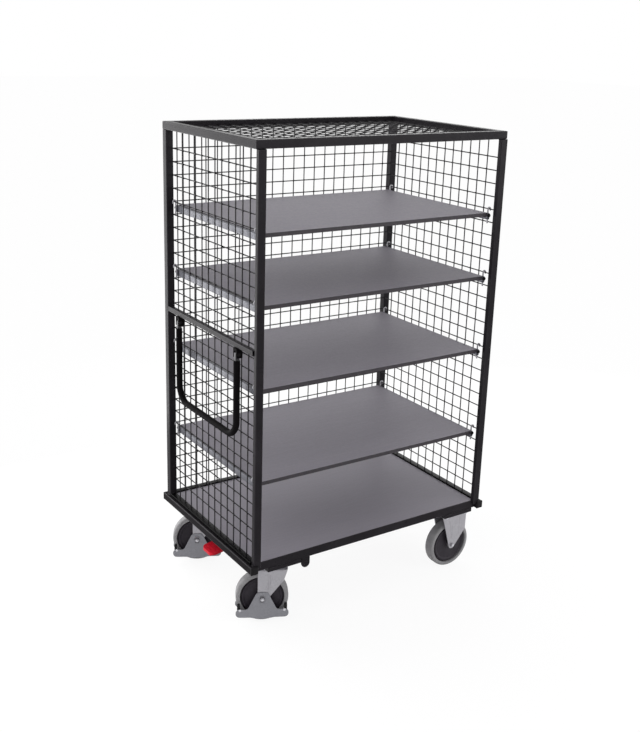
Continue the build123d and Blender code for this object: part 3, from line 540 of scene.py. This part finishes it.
def rounded(corners, radii, steps=CORNER_STEPS):
    """Closed outline with a rounding at each corner."""
    outline = []
    for index, corner in enumerate(corners):
        here = Vector(corner)
        behind = (Vector(corners[index - 1]) - here).normalized()
        ahead = (Vector(corners[(index + 1) % len(corners)]) - here).normalized()
        half = behind.angle(ahead) / 2
        middle = here + (behind + ahead).normalized() * radii[index] / math.sin(half)
        reach = radii[index] / math.tan(half)
        first = (here + behind * reach - middle).normalized()
        last = (here + ahead * reach - middle).normalized()
        for step in range(steps + 1):
            outline.append(tuple(middle + radii[index] * first.slerp(last, step / steps)))
    return outline


def rectangle(width, height, radius):
    """Outline of a rectangle about nought with round corners."""
    x, z = width / 2, height / 2
    return rounded(((x, z), (-x, z), (-x, -z), (x, -z)), (radius,) * 4)


def along_axis(point, direction):
    """Place whose Z axis points in a direction."""
    turn = Vector(Z_AXIS).rotation_difference(Vector(direction)).to_matrix().to_4x4()
    return Matrix.Translation(point) @ turn


# Welded mesh: round wires with a flat nugget at each crossing

# Section of a weld nugget as depth and radius, in radii of its wire
NUGGET = ((-1.25, 0.5), (-0.6, 1.4), (0.6, 1.4), (1.25, 0.5))
NUGGET_SIDES = 8


def nugget(shape, middle, first, second, wire):
    """Flattened bead where two wires are welded."""
    first, second = Vector(first), Vector(second)
    through = first.cross(second)
    rings = []
    for depth, radius in NUGGET:
        level = Vector(middle) + through * depth * wire
        rings.append(circle(level, first, second, radius * wire, NUGGET_SIDES))
    shape.rings(rings)


def panel(node, wires, radius, normal, cross_axes, crossings):
    """Panel of straight wires, with nuggets that are drawn in the plane of two axes."""
    shape = Shape()
    for start, end in wires:
        shape.tube((start, end), radius, WIRE_SIDES, normal)
    for middle in crossings:
        nugget(shape, middle, *cross_axes, radius)
    shape.piece(node + "_wires", "chassis", MESH_BLACK, "frame_black", (node,))


def side_panel(name, side):
    up_x, level_x = side * SIDE_UPRIGHT_X, side * SIDE_LEVEL_X
    wires = [((up_x, y, SIDE_BAR_TOP), (up_x, y, ROOF_BOTTOM)) for y in SIDE_COLUMNS]
    wires += [((level_x, FRONT_POST_IN_Y, z), (level_x, BACK_POST_IN_Y, z)) for z in ROW_HEIGHTS]
    crossings = [((up_x + level_x) / 2, y, z) for y in SIDE_COLUMNS for z in ROW_HEIGHTS]
    panel(f"mesh_{name}", wires, WALL_WIRE_RADIUS, X_AXIS, (Y_AXIS, Z_AXIS), crossings)


def back_panel():
    up_y, level_y = BACK_UPRIGHT_Y, BACK_LEVEL_Y
    wires = [((x, up_y, BACK_BAR_TOP), (x, up_y, ROOF_BOTTOM)) for x in LONG_COLUMNS]
    wires += [((-BACK_POST_IN_X, level_y, z), (BACK_POST_IN_X, level_y, z)) for z in ROW_HEIGHTS]
    crossings = [(x, (up_y + level_y) / 2, z) for x in LONG_COLUMNS for z in ROW_HEIGHTS]
    panel("mesh_back", wires, WALL_WIRE_RADIUS, Y_AXIS, (X_AXIS, Z_AXIS), crossings)


def roof_panel():
    wires = [((x, -ROOF_IN_Y, ROOF_UPPER_Z), (x, ROOF_IN_Y, ROOF_UPPER_Z)) for x in LONG_COLUMNS]
    wires += [((-ROOF_IN_X, y, ROOF_LOWER_Z), (ROOF_IN_X, y, ROOF_LOWER_Z)) for y in SIDE_COLUMNS]
    middle_z = (ROOF_UPPER_Z + ROOF_LOWER_Z) / 2
    crossings = [(x, y, middle_z) for x in LONG_COLUMNS for y in SIDE_COLUMNS]
    panel("mesh_roof", wires, ROOF_WIRE_RADIUS, Z_AXIS, (X_AXIS, Y_AXIS), crossings)


def foot_bars():
    """Flat bars that the side panels and the back panel end on."""
    _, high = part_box("panel_bottom_rails")
    shape = Shape()
    bar = rectangle(PANEL_BAR_DEPTH, SIDE_BAR_HEIGHT, PANEL_BAR_CORNER)
    z_mid = SIDE_BAR_TOP - SIDE_BAR_HEIGHT / 2
    for _, side in LEFT_RIGHT:
        x_mid = side * (high.x - PANEL_BAR_DEPTH / 2)
        ends = (FRONT_POST_IN_Y, BACK_POST_IN_Y)
        shape.rings([[(x_mid + u, y, z_mid + v) for u, v in bar] for y in ends])
    bar = rectangle(PANEL_BAR_DEPTH, BACK_BAR_HEIGHT, PANEL_BAR_CORNER)
    y_mid = high.y - PANEL_BAR_DEPTH / 2
    z_mid = BACK_BAR_TOP - BACK_BAR_HEIGHT / 2
    ends = (BACK_POST_IN_X, -BACK_POST_IN_X)
    shape.rings([[(x, y_mid + u, z_mid + v) for u, v in bar] for x in ends])
    # The bars take the near-black coat, which is painted shade
    shape.piece("panel_foot_rails", "chassis", PANEL_SHADE_BLACK, "frame_black", ("panel_bottom_rails",))


# Shelf rails: grey bar along the board's ends, bent rod hooks, round black end caps

def shelf_hook(shape, side, y, row_z):
    """Rod that comes up from the rail, goes over a wire of the side panel and ends in a round tip."""
    wire_x = side * SIDE_LEVEL_X
    bend = arc((wire_x, y, row_z), (-side, 0, 0), Z_AXIS, HOOK_CROOK, 180, HOOK_CROOK_STEPS)
    foot = (wire_x - side * HOOK_CROOK, y, row_z - HOOK_TAIL)
    tip = (wire_x + side * HOOK_CROOK, y, row_z - HOOK_TIP)
    shape.tube((foot, *bend, tip), HOOK_RADIUS, HOOK_SIDES, Y_AXIS, dome=True)


def shelf_rails(number):
    low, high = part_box(f"shelf_board_{number}")
    z_mid = high.z - RAIL_SINK - RAIL_HEIGHT / 2
    section = rectangle(RAIL_WIDTH, RAIL_HEIGHT, RAIL_CORNER)
    body = f"shelf_{number}"
    rail_node = f"shelf_hook_rails_{number}"
    caps = Shape()
    hooks = Shape()
    for name, side in LEFT_RIGHT:
        x_mid = side * (high.x + RAIL_WIDTH / 2)
        rail = Shape()
        rail.rings([[(x_mid + u, y, z_mid + v) for u, v in section] for y in (low.y, high.y)])
        rail.piece(f"shelf_{number}_rail_{name}", body, RAIL_GREY, "zinc", (rail_node,))
        for y in HOOK_PLACES:
            shelf_hook(hooks, side, y, high.z + WIRE_OVER_BOARD)
        for y, way in ((low.y, -1), (high.y, 1)):
            end = (x_mid + side * CAP_OUT, y, z_mid + CAP_UP)
            caps.turned(CAP_SECTION, along_axis(end, (0, way, 0)), CAP_SIDES)
    hooks.piece(f"shelf_{number}_hooks", body, ZINC, "zinc", (rail_node,))
    caps.piece(f"shelf_{number}_end_caps", body, PLASTIC_BLACK, "plastic_black")


# Push handle: one smooth bent tube

def handle():
    turn_y, turn_z = HANDLE_LEG_Y - HANDLE_BEND, HANDLE_BAR_Z + HANDLE_BEND
    path = [(HANDLE_X, HANDLE_LEG_Y, HANDLE_LEG_TOP)]
    path += arc((HANDLE_X, turn_y, turn_z), Y_AXIS, DOWN, HANDLE_BEND, 90, HANDLE_BEND_STEPS)
    path += arc((HANDLE_X, -turn_y, turn_z), DOWN, (0, -1, 0), HANDLE_BEND, 90, HANDLE_BEND_STEPS)
    path.append((HANDLE_X, -HANDLE_LEG_Y, HANDLE_LEG_TOP))
    shape = Shape()
    shape.tube(path, HANDLE_RADIUS, HANDLE_SIDES, X_AXIS)
    shape.piece("handle_bent_tube", "handle", HANDLE_BLACK, "frame_black", ("handle_tube",))


# Castor wheels: round-shouldered tyre on a dished centre with a groove under the tyre

TYRE_CORNERS = (
    (TYRE_SEAT, -TYRE_HALF),
    (WHEEL_RADIUS, -TYRE_HALF),
    (WHEEL_RADIUS, TYRE_HALF),
    (TYRE_SEAT, TYRE_HALF),
)
TYRE_ROUNDING = (0.0020, 0.0090, 0.0090, 0.0020)
TYRE_STEPS = 6

# Half of the centre's section from the bore outwards, as radius, half width and rounding
CORE_CORNERS = (
    (0.0062, CORE_HALF, 0.0006),
    (0.0205, CORE_HALF, 0.0015),
    (0.0235, CORE_HALF - CORE_DISH, 0.0015),
    (0.0660, CORE_HALF - CORE_DISH, 0.0030),
    (0.0715, CORE_HALF, 0.0020),
    (0.0765, CORE_HALF, 0.0012),
    (0.0780, CORE_HALF - CORE_GROOVE, 0.0008),
    (0.0838, CORE_HALF - CORE_GROOVE, 0.0006),
)
CORE_STEPS = 3


def castor_place(kind, name):
    """Place at the middle of a wheel, with Y along its axle."""
    joint = JOINTS[f"wheel_{kind}_{name}_spin"]
    x, y, _ = joint["axis"]
    return Matrix.Translation(joint["pos_m"]) @ Matrix.Rotation(math.atan2(-x, y), 4, "Z")


def outwards(place, way):
    """Direction along the axle of a castor's place, one way or the other."""
    return place.to_3x3() @ Vector((0, way, 0))


def wheel(kind, name):
    place = castor_place(kind, name)
    body = f"wheel_{kind}_{name}"
    tyre = Shape()
    tyre.lathe(rounded(TYRE_CORNERS, TYRE_ROUNDING, TYRE_STEPS), place, WHEEL_SIDES)
    tyre.piece(f"tyre_{kind}_{name}_round", body, TYRE_GREY, "tyre_grey", (f"tyre_{kind}_{name}",))
    near = [(radius, -half) for radius, half, _ in CORE_CORNERS]
    far = [(radius, half) for radius, half, _ in reversed(CORE_CORNERS)]
    rounding = [size for _, _, size in CORE_CORNERS]
    core = Shape()
    core.lathe(rounded(near + far, rounding + rounding[::-1], CORE_STEPS), place, WHEEL_SIDES)
    core_node = f"wheel_core_{kind}_{name}"
    core.piece(core_node + "_dished", body, WHEEL_DARK, "wheel_dark", (core_node,))


# Small fixings

# Sections of a bolt's washer and head as radius and height over its plate
BOLT_TOP = WASHER_SHEET + BOLT_HEIGHT
WASHER_SECTION = (
    (BOLT_RADIUS, 0),
    (WASHER_RADIUS, 0),
    (WASHER_RADIUS, WASHER_SHEET * 0.75),
    (WASHER_RADIUS * 0.95, WASHER_SHEET),
    (BOLT_RADIUS, WASHER_SHEET),
)
BOLT_SECTION = (
    (BOLT_RADIUS, WASHER_SHEET),
    (BOLT_RADIUS, BOLT_TOP - BOLT_HEIGHT / 6),
    (BOLT_RADIUS * 0.86, BOLT_TOP),
)
HEXAGON = 6

# Section of a thread end as share of its radius and height over its nut
THREAD_SECTION = ((1.0, -0.0005), (1.0, 0.0020), (0.8, 0.0030), (0.35, 0.0034))
THREAD_SIDES = 16

# Rivet head: share of its height at the rim, steps of its dome and sides
DOME_RIM = 0.25
DOME_STEPS = 6
DOME_SIDES = 16


def bolt_end(shape, place):
    """Washer with a chamfered hexagon on it and a round thread end."""
    shape.turned(WASHER_SECTION, place, WASHER_SIDES)
    shape.turned(BOLT_SECTION, place, HEXAGON)
    thread_end(shape, place @ Matrix.Translation((0, 0, BOLT_TOP)), BOLT_RADIUS / 2)


def thread_end(shape, place, radius):
    """Rounded end of a bolt that stands out of its nut."""
    section = [(radius * share, height) for share, height in THREAD_SECTION]
    shape.turned(section, place, THREAD_SIDES)


def dome_head(shape, place, radius, height):
    """Domed head of a rivet on a short straight rim."""
    section = [(radius, 0.0)]
    for step in range(DOME_STEPS):
        angle = math.pi / 2 * step / DOME_STEPS
        rise = DOME_RIM + (1 - DOME_RIM) * math.sin(angle)
        section.append((radius * math.cos(angle), height * rise))
    shape.turned(section, place, DOME_SIDES)


def castor_bolts():
    shape = Shape()
    for name, _ in FRONT_BACK:
        swivel_x, swivel_y, _ = JOINTS[f"swivel_{name}_turn"]["pos_m"]
        fixed_x, fixed_y, _ = JOINTS[f"wheel_fixed_{name}_spin"]["pos_m"]
        plates = (
            (swivel_x, swivel_y, SWIVEL_PLATE_BOTTOM, *SWIVEL_BOLTS),
            (fixed_x + FIXED_PLATE_SHIFT, fixed_y, FIXED_PLATE_BOTTOM, *FIXED_BOLTS),
        )
        for x, y, z, half_x, half_y in plates:
            for side_x in BOTH_WAYS:
                for side_y in BOTH_WAYS:
                    point = (x + side_x * half_x, y + side_y * half_y, z)
                    bolt_end(shape, along_axis(point, DOWN))
    shape.piece("castor_bolts", "chassis", ZINC_BRIGHT, "zinc")


def axle_ends(kind, name, half, body):
    """Thread ends on an axle's hexagons."""
    shape = Shape()
    place = castor_place(kind, name)
    for way in BOTH_WAYS:
        end = place @ Vector((0, way * (half + AXLE_HEAD), 0))
        thread_end(shape, along_axis(end, outwards(place, way)), AXLE_THREAD)
    shape.piece(f"axle_ends_{kind}_{name}", body, ZINC_BRIGHT, "zinc")


def guard_rivets(name):
    shape = Shape()
    place = castor_place("swivel", name)
    for side in BOTH_WAYS:
        for way in BOTH_WAYS:
            rivet = place @ Vector((side * GUARD_RIVET_X, way * GUARD_OUT, GUARD_RIVET_Z))
            dome_head(shape, along_axis(rivet, outwards(place, way)), *GUARD_RIVET)
    shape.piece(f"guard_rivets_{name}", f"swivel_{name}", ZINC_BRIGHT, "zinc")


def pressed_beads(kind, name, body):
    """Upright bead pressed into each leg of a fork."""
    along, low, high = FORK_BEADS[kind]
    shape = Shape()
    place = castor_place(kind, name)
    lengthways = place.to_3x3() @ Vector(X_AXIS)
    heights = (low, low + FORK_BEAD_TAPER, high - FORK_BEAD_TAPER, high)
    for way in BOTH_WAYS:
        depth = way * (FORK_OUT - FORK_BEAD_SINK)
        points = [place @ Vector((along, depth, height)) for height in heights]
        shape.tube(points, FORK_BEAD_RADIUS, FORK_BEAD_SIDES, lengthways, swell=FORK_BEAD_SWELL)
    shape.piece(f"fork_beads_{kind}_{name}", body, ZINC, "zinc")


def slot_rims(name):
    """Raised rim round the axle's slot in each guard plate."""
    shape = Shape()
    place = castor_place("swivel", name)
    outline = rectangle(SLOT_WIDTH, SLOT_HEIGHT, SLOT_WIDTH / 2 - SLOT_FLAT)
    for way in BOTH_WAYS:
        rings = []
        axle = place @ Vector((0, way * GUARD_OUT, 0))
        for u, v in outline:
            middle = place @ Vector((u, way * GUARD_OUT, v))
            aside = (middle - axle).normalized()
            rings.append(circle(middle, aside, outwards(place, way), SLOT_RIM, SLOT_RIM_SIDES))
        shape.rings(rings, closed=True)
    shape.piece(f"guard_slot_rims_{name}", f"swivel_{name}", GUARD_GREY, "guard_grey")


def pivot_rivets():
    shape = Shape()
    for _, side in FRONT_BACK:
        for way in BOTH_WAYS:
            face = (HANDLE_X, side * HANDLE_LEG_Y + way * PIVOT_HALF, HANDLE_AXIS_Z)
            dome_head(shape, along_axis(face, (0, way, 0)), *PIVOT_RIVET)
    shape.piece("handle_pivot_rivets", "chassis", PLASTIC_BLACK, "plastic_black")


# Welds on the frame

WELD_RADIUS = 0.0026
WELD_SIDES = 8
WELD_STEP = 0.0016
WELD_FEWEST_STEPS = 8
WELD_INSET = 0.003
# Radius along a weld as shares of its own: at both ends, at the lows of its ripple, and the ripple's rise
WELD_END = 0.55
WELD_LOW = 0.92
WELD_RIPPLE = 0.16
BEAM_WELD_LENGTH = 0.040


def weld_bead(shape, start, end):
    """Rippled level bead of weld under the coat, short of both ends of its corner."""
    start, end = Vector(start), Vector(end)
    inset = (end - start).normalized() * WELD_INSET
    start, end = start + inset, end - inset
    count = max(WELD_FEWEST_STEPS, round((end - start).length / WELD_STEP))
    points = [start.lerp(end, index / count) for index in range(count + 1)]
    swell = [WELD_LOW + WELD_RIPPLE * (index % 2) for index in range(count + 1)]
    swell[0] = swell[-1] = WELD_END
    shape.tube(points, WELD_RADIUS, WELD_SIDES, Z_AXIS, swell=swell)


def post_welds(shape, name, side_x, side_y):
    """Beads at a post's head, at its foot and where the foot bar of the side panel meets it."""
    low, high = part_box(name)
    in_x, out_x = (low.x, high.x) if side_x > 0 else (high.x, low.x)
    in_y, out_y = (low.y, high.y) if side_y > 0 else (high.y, low.y)
    panel_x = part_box("panel_bottom_rails")[1].x - PANEL_BAR_DEPTH
    weld_bead(shape, (in_x, in_y, ROOF_BOTTOM), (in_x, side_y * CAGE_OUT_Y, ROOF_BOTTOM))
    weld_bead(shape, (side_x * ROOF_IN_X, in_y, ROOF_BOTTOM), (out_x, in_y, ROOF_BOTTOM))
    weld_bead(shape, (out_x, in_y, END_RAIL_TOP), (out_x, out_y, END_RAIL_TOP))
    weld_bead(shape, (side_x * panel_x, in_y, SIDE_BAR_TOP), (out_x, in_y, SIDE_BAR_TOP))


def frame_welds():
    """Beads of the posts, of the handle's cross rail and of the castor beams."""
    shape = Shape()
    for length_name, side_x in LEFT_RIGHT:
        for depth_name, side_y in FRONT_BACK:
            post_welds(shape, f"post_{depth_name}_{length_name}", side_x, side_y)
    low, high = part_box("handle_cross_rail")
    out_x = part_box("post_front_left")[0].x
    for y in (low.y, high.y):
        for z in (low.z, high.z):
            weld_bead(shape, (out_x, y, z), (high.x, y, z))
    for beam in ("castor_beam_swivel", "castor_beam_fixed"):
        low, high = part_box(beam)
        for y in (low.y, high.y):
            weld_bead(shape, (low.x, y, high.z), (low.x + BEAM_WELD_LENGTH, y, high.z))
            weld_bead(shape, (high.x - BEAM_WELD_LENGTH, y, high.z), (high.x, y, high.z))
    shape.piece("frame_welds", "chassis", FRAME_BLACK, "frame_black")


# Finish of the solids: material, and edges broken as sheet, tube and board edges are

EDGE_WIDTHS = {
    "frame_black": 0.0012,
    "board_grey": 0.0010,
    "zinc": 0.0008,
    "guard_grey": 0.0010,
    "rubber_black": 0.0015,
    "plastic_black": 0.0015,
    "pedal_red": 0.0022,
}
EDGE_SEGMENTS = 2
EDGE_ANGLE = math.radians(25)
MERGE_DISTANCE = 0.00005


def dress_solids():
    """Give every solid its material, and round its edges where its slot has a width for them."""
    for name, solid in NODES.items():
        slot = solid.data.materials[0].name.split(".")[0]
        solid.data.materials[0] = NODE_MATERIALS.get(name, SLOT_MATERIALS[slot])
        if slot not in EDGE_WIDTHS:
            continue
        weld = solid.modifiers.new("weld", "WELD")
        weld.merge_threshold = MERGE_DISTANCE
        bevel = solid.modifiers.new("edges", "BEVEL")
        bevel.width = EDGE_WIDTHS[slot]
        bevel.segments = EDGE_SEGMENTS
        bevel.limit_method = "ANGLE"
        bevel.angle_limit = EDGE_ANGLE
        bevel.use_clamp_overlap = True
        # The frame's rounded edges take the lighter coat, a painted highlight
        if slot == "frame_black":
            solid.data.materials.append(FRAME_EDGE_HIGHLIGHT)
            bevel.material = len(solid.data.materials) - 1
        even = solid.modifiers.new("normals", "WEIGHTED_NORMAL")
        even.keep_sharp = False


# Studio

WHITE = (1.0, 1.0, 1.0)
AMBIENT_COLOUR = (1.0, 0.99, 1.0)
AMBIENT_FRONT = 0.50
AMBIENT_BACK = 1.20
# Soft boxes as name, place, point they face, width, height and glow on the scale of the ambient light
SOFT_BOXES = (
    ("key_above_left", (-2.4, -0.7, 2.5), (-0.5, 0.0, 1.2), 1.4, 1.4, 1.2),
    ("backdrop_left", (-1.6, 1.6, 1.15), (-1.6, 0.0, 1.15), 2.4, 2.2, 3.2),
    ("backdrop_right", (1.90, 2.0, 1.15), (0.5, 0.0, 1.15), 2.4, 2.2, 1.2),
    ("front_right", (2.5, -3.5, 1.75), (0.0, -0.3, 1.6), 2.4, 1.5, 4.0),
)
FLOOR_CORNERS = ((-40.0, -40.0, 0.0), (40.0, -40.0, 0.0), (40.0, 40.0, 0.0), (-40.0, 40.0, 0.0))
FLOOR_PAINT = (0.92, 0.92, 0.92)
# Share of the floor that glows to the eye, so that a shadow stays in the rest, and its strength
FLOOR_GLOW = 0.88
FLOOR_WHITE = 1.02
# Camera angles in degrees and lens lengths in millimetres
CAMERA_PLACE = (-2.1940, -3.1892, 2.1523)
CAMERA_AZIMUTH = -34.134
CAMERA_ELEVATION = 16.475
CAMERA_ROLL = 1.821
CAMERA_SENSOR = 36.0
CAMERA_LENS = 50.015
CAMERA_SHIFT_X = -0.0029
CAMERA_SHIFT_Y = -0.0459
CAMERA_REACH = 100.0


def white_to_view(tree):
    """One for rays of the camera, reflections and see-through, nought for light."""
    rays = tree.node("ShaderNodeLightPath").outputs
    feeds = {0: rays["Is Camera Ray"], 1: rays["Is Glossy Ray"]}
    seen = tree.node("ShaderNodeMath", feeds, operation="MAXIMUM")
    feeds = {0: seen.outputs[0], 1: rays["Is Transmission Ray"]}
    seen = tree.node("ShaderNodeMath", feeds, operation="MAXIMUM")
    return seen.outputs[0]


def studio():
    """World that looks white and lights the object more from the back than from the front."""
    world = bpy.data.worlds.new("studio")
    SCENE.world = world
    tree = Tree(world)
    tree.nodes.clear()
    direction = tree.node("ShaderNodeTexCoord").outputs["Generated"]
    towards = tree.node("ShaderNodeSeparateXYZ", {"Vector": direction}).outputs["Y"]
    strength = tree.spread(towards, AMBIENT_FRONT, AMBIENT_BACK, start=-1.0, end=1.0)
    ambient = tree.node("ShaderNodeBackground", {"Color": AMBIENT_COLOUR, "Strength": strength})
    white = tree.node("ShaderNodeBackground", {"Color": WHITE})
    feeds = {"Fac": white_to_view(tree), 1: ambient.outputs[0], 2: white.outputs[0]}
    mix = tree.node("ShaderNodeMixShader", feeds)
    tree.node("ShaderNodeOutputWorld", {"Surface": mix.outputs[0]})


def floor():
    """Pale floor that is near white to the eye and keeps the object's shadow."""
    material = bpy.data.materials.new("floor_white")
    tree = Tree(material)
    tree.nodes.clear()
    share = tree.node("ShaderNodeMath", {0: white_to_view(tree), 1: FLOOR_GLOW}, operation="MULTIPLY")
    paint = tree.node("ShaderNodeBsdfDiffuse", {"Color": FLOOR_PAINT})
    glow = tree.node("ShaderNodeEmission", {"Strength": FLOOR_WHITE})
    feeds = {"Fac": share.outputs[0], 1: paint.outputs[0], 2: glow.outputs[0]}
    mix = tree.node("ShaderNodeMixShader", feeds)
    tree.node("ShaderNodeOutputMaterial", {"Surface": mix.outputs[0]})
    mesh = bpy.data.meshes.new("floor")
    mesh.from_pydata(FLOOR_CORNERS, [], [(0, 1, 2, 3)])
    mesh.materials.append(material)
    made = bpy.data.objects.new("floor", mesh)
    SCENE.collection.objects.link(made)


def soft_box(name, place, target, width, height, glow):
    data = bpy.data.lights.new(name, "AREA")
    data.shape = "RECTANGLE"
    data.size = width
    data.size_y = height
    data.energy = math.pi * width * height * glow
    made = bpy.data.objects.new(name, data)
    made.location = place
    made.rotation_euler = (Vector(place) - Vector(target)).to_track_quat("Z", "Y").to_euler()
    SCENE.collection.objects.link(made)


def camera():
    """Camera at the photograph's viewing angle."""
    azimuth = math.radians(CAMERA_AZIMUTH)
    elevation = math.radians(CAMERA_ELEVATION)
    roll = math.radians(CAMERA_ROLL)
    level = math.cos(elevation)
    back = Vector((math.sin(azimuth) * level, -math.cos(azimuth) * level, math.sin(elevation)))
    right = Vector(Z_AXIS).cross(back).normalized()
    up = back.cross(right)
    turned_right = math.cos(roll) * right + math.sin(roll) * up
    turned_up = math.cos(roll) * up - math.sin(roll) * right
    axes = Matrix((turned_right, turned_up, back)).transposed().to_4x4()
    data = bpy.data.cameras.new("camera")
    data.sensor_width = CAMERA_SENSOR
    data.lens = CAMERA_LENS
    data.shift_x = CAMERA_SHIFT_X
    data.shift_y = CAMERA_SHIFT_Y
    data.clip_end = CAMERA_REACH
    made = bpy.data.objects.new("camera", data)
    made.matrix_world = Matrix.Translation(CAMERA_PLACE) @ axes
    SCENE.collection.objects.link(made)
    SCENE.camera = made


camera()
studio()
for box in SOFT_BOXES:
    soft_box(*box)
floor()
SCENE.view_settings.view_transform = "Standard"

dress_solids()
for mesh_name, mesh_side in LEFT_RIGHT:
    side_panel(mesh_name, mesh_side)
back_panel()
roof_panel()
foot_bars()
for shelf_number in SHELF_NUMBERS:
    shelf_rails(shelf_number)
handle()
for depth, _ in FRONT_BACK:
    wheel("swivel", depth)
    wheel("fixed", depth)
    axle_ends("swivel", depth, GUARD_OUT, f"swivel_{depth}")
    axle_ends("fixed", depth, FORK_OUT, "chassis")
    pressed_beads("swivel", depth, f"swivel_{depth}")
    pressed_beads("fixed", depth, "chassis")
    guard_rivets(depth)
    slot_rims(depth)
castor_bolts()
pivot_rivets()
frame_welds()
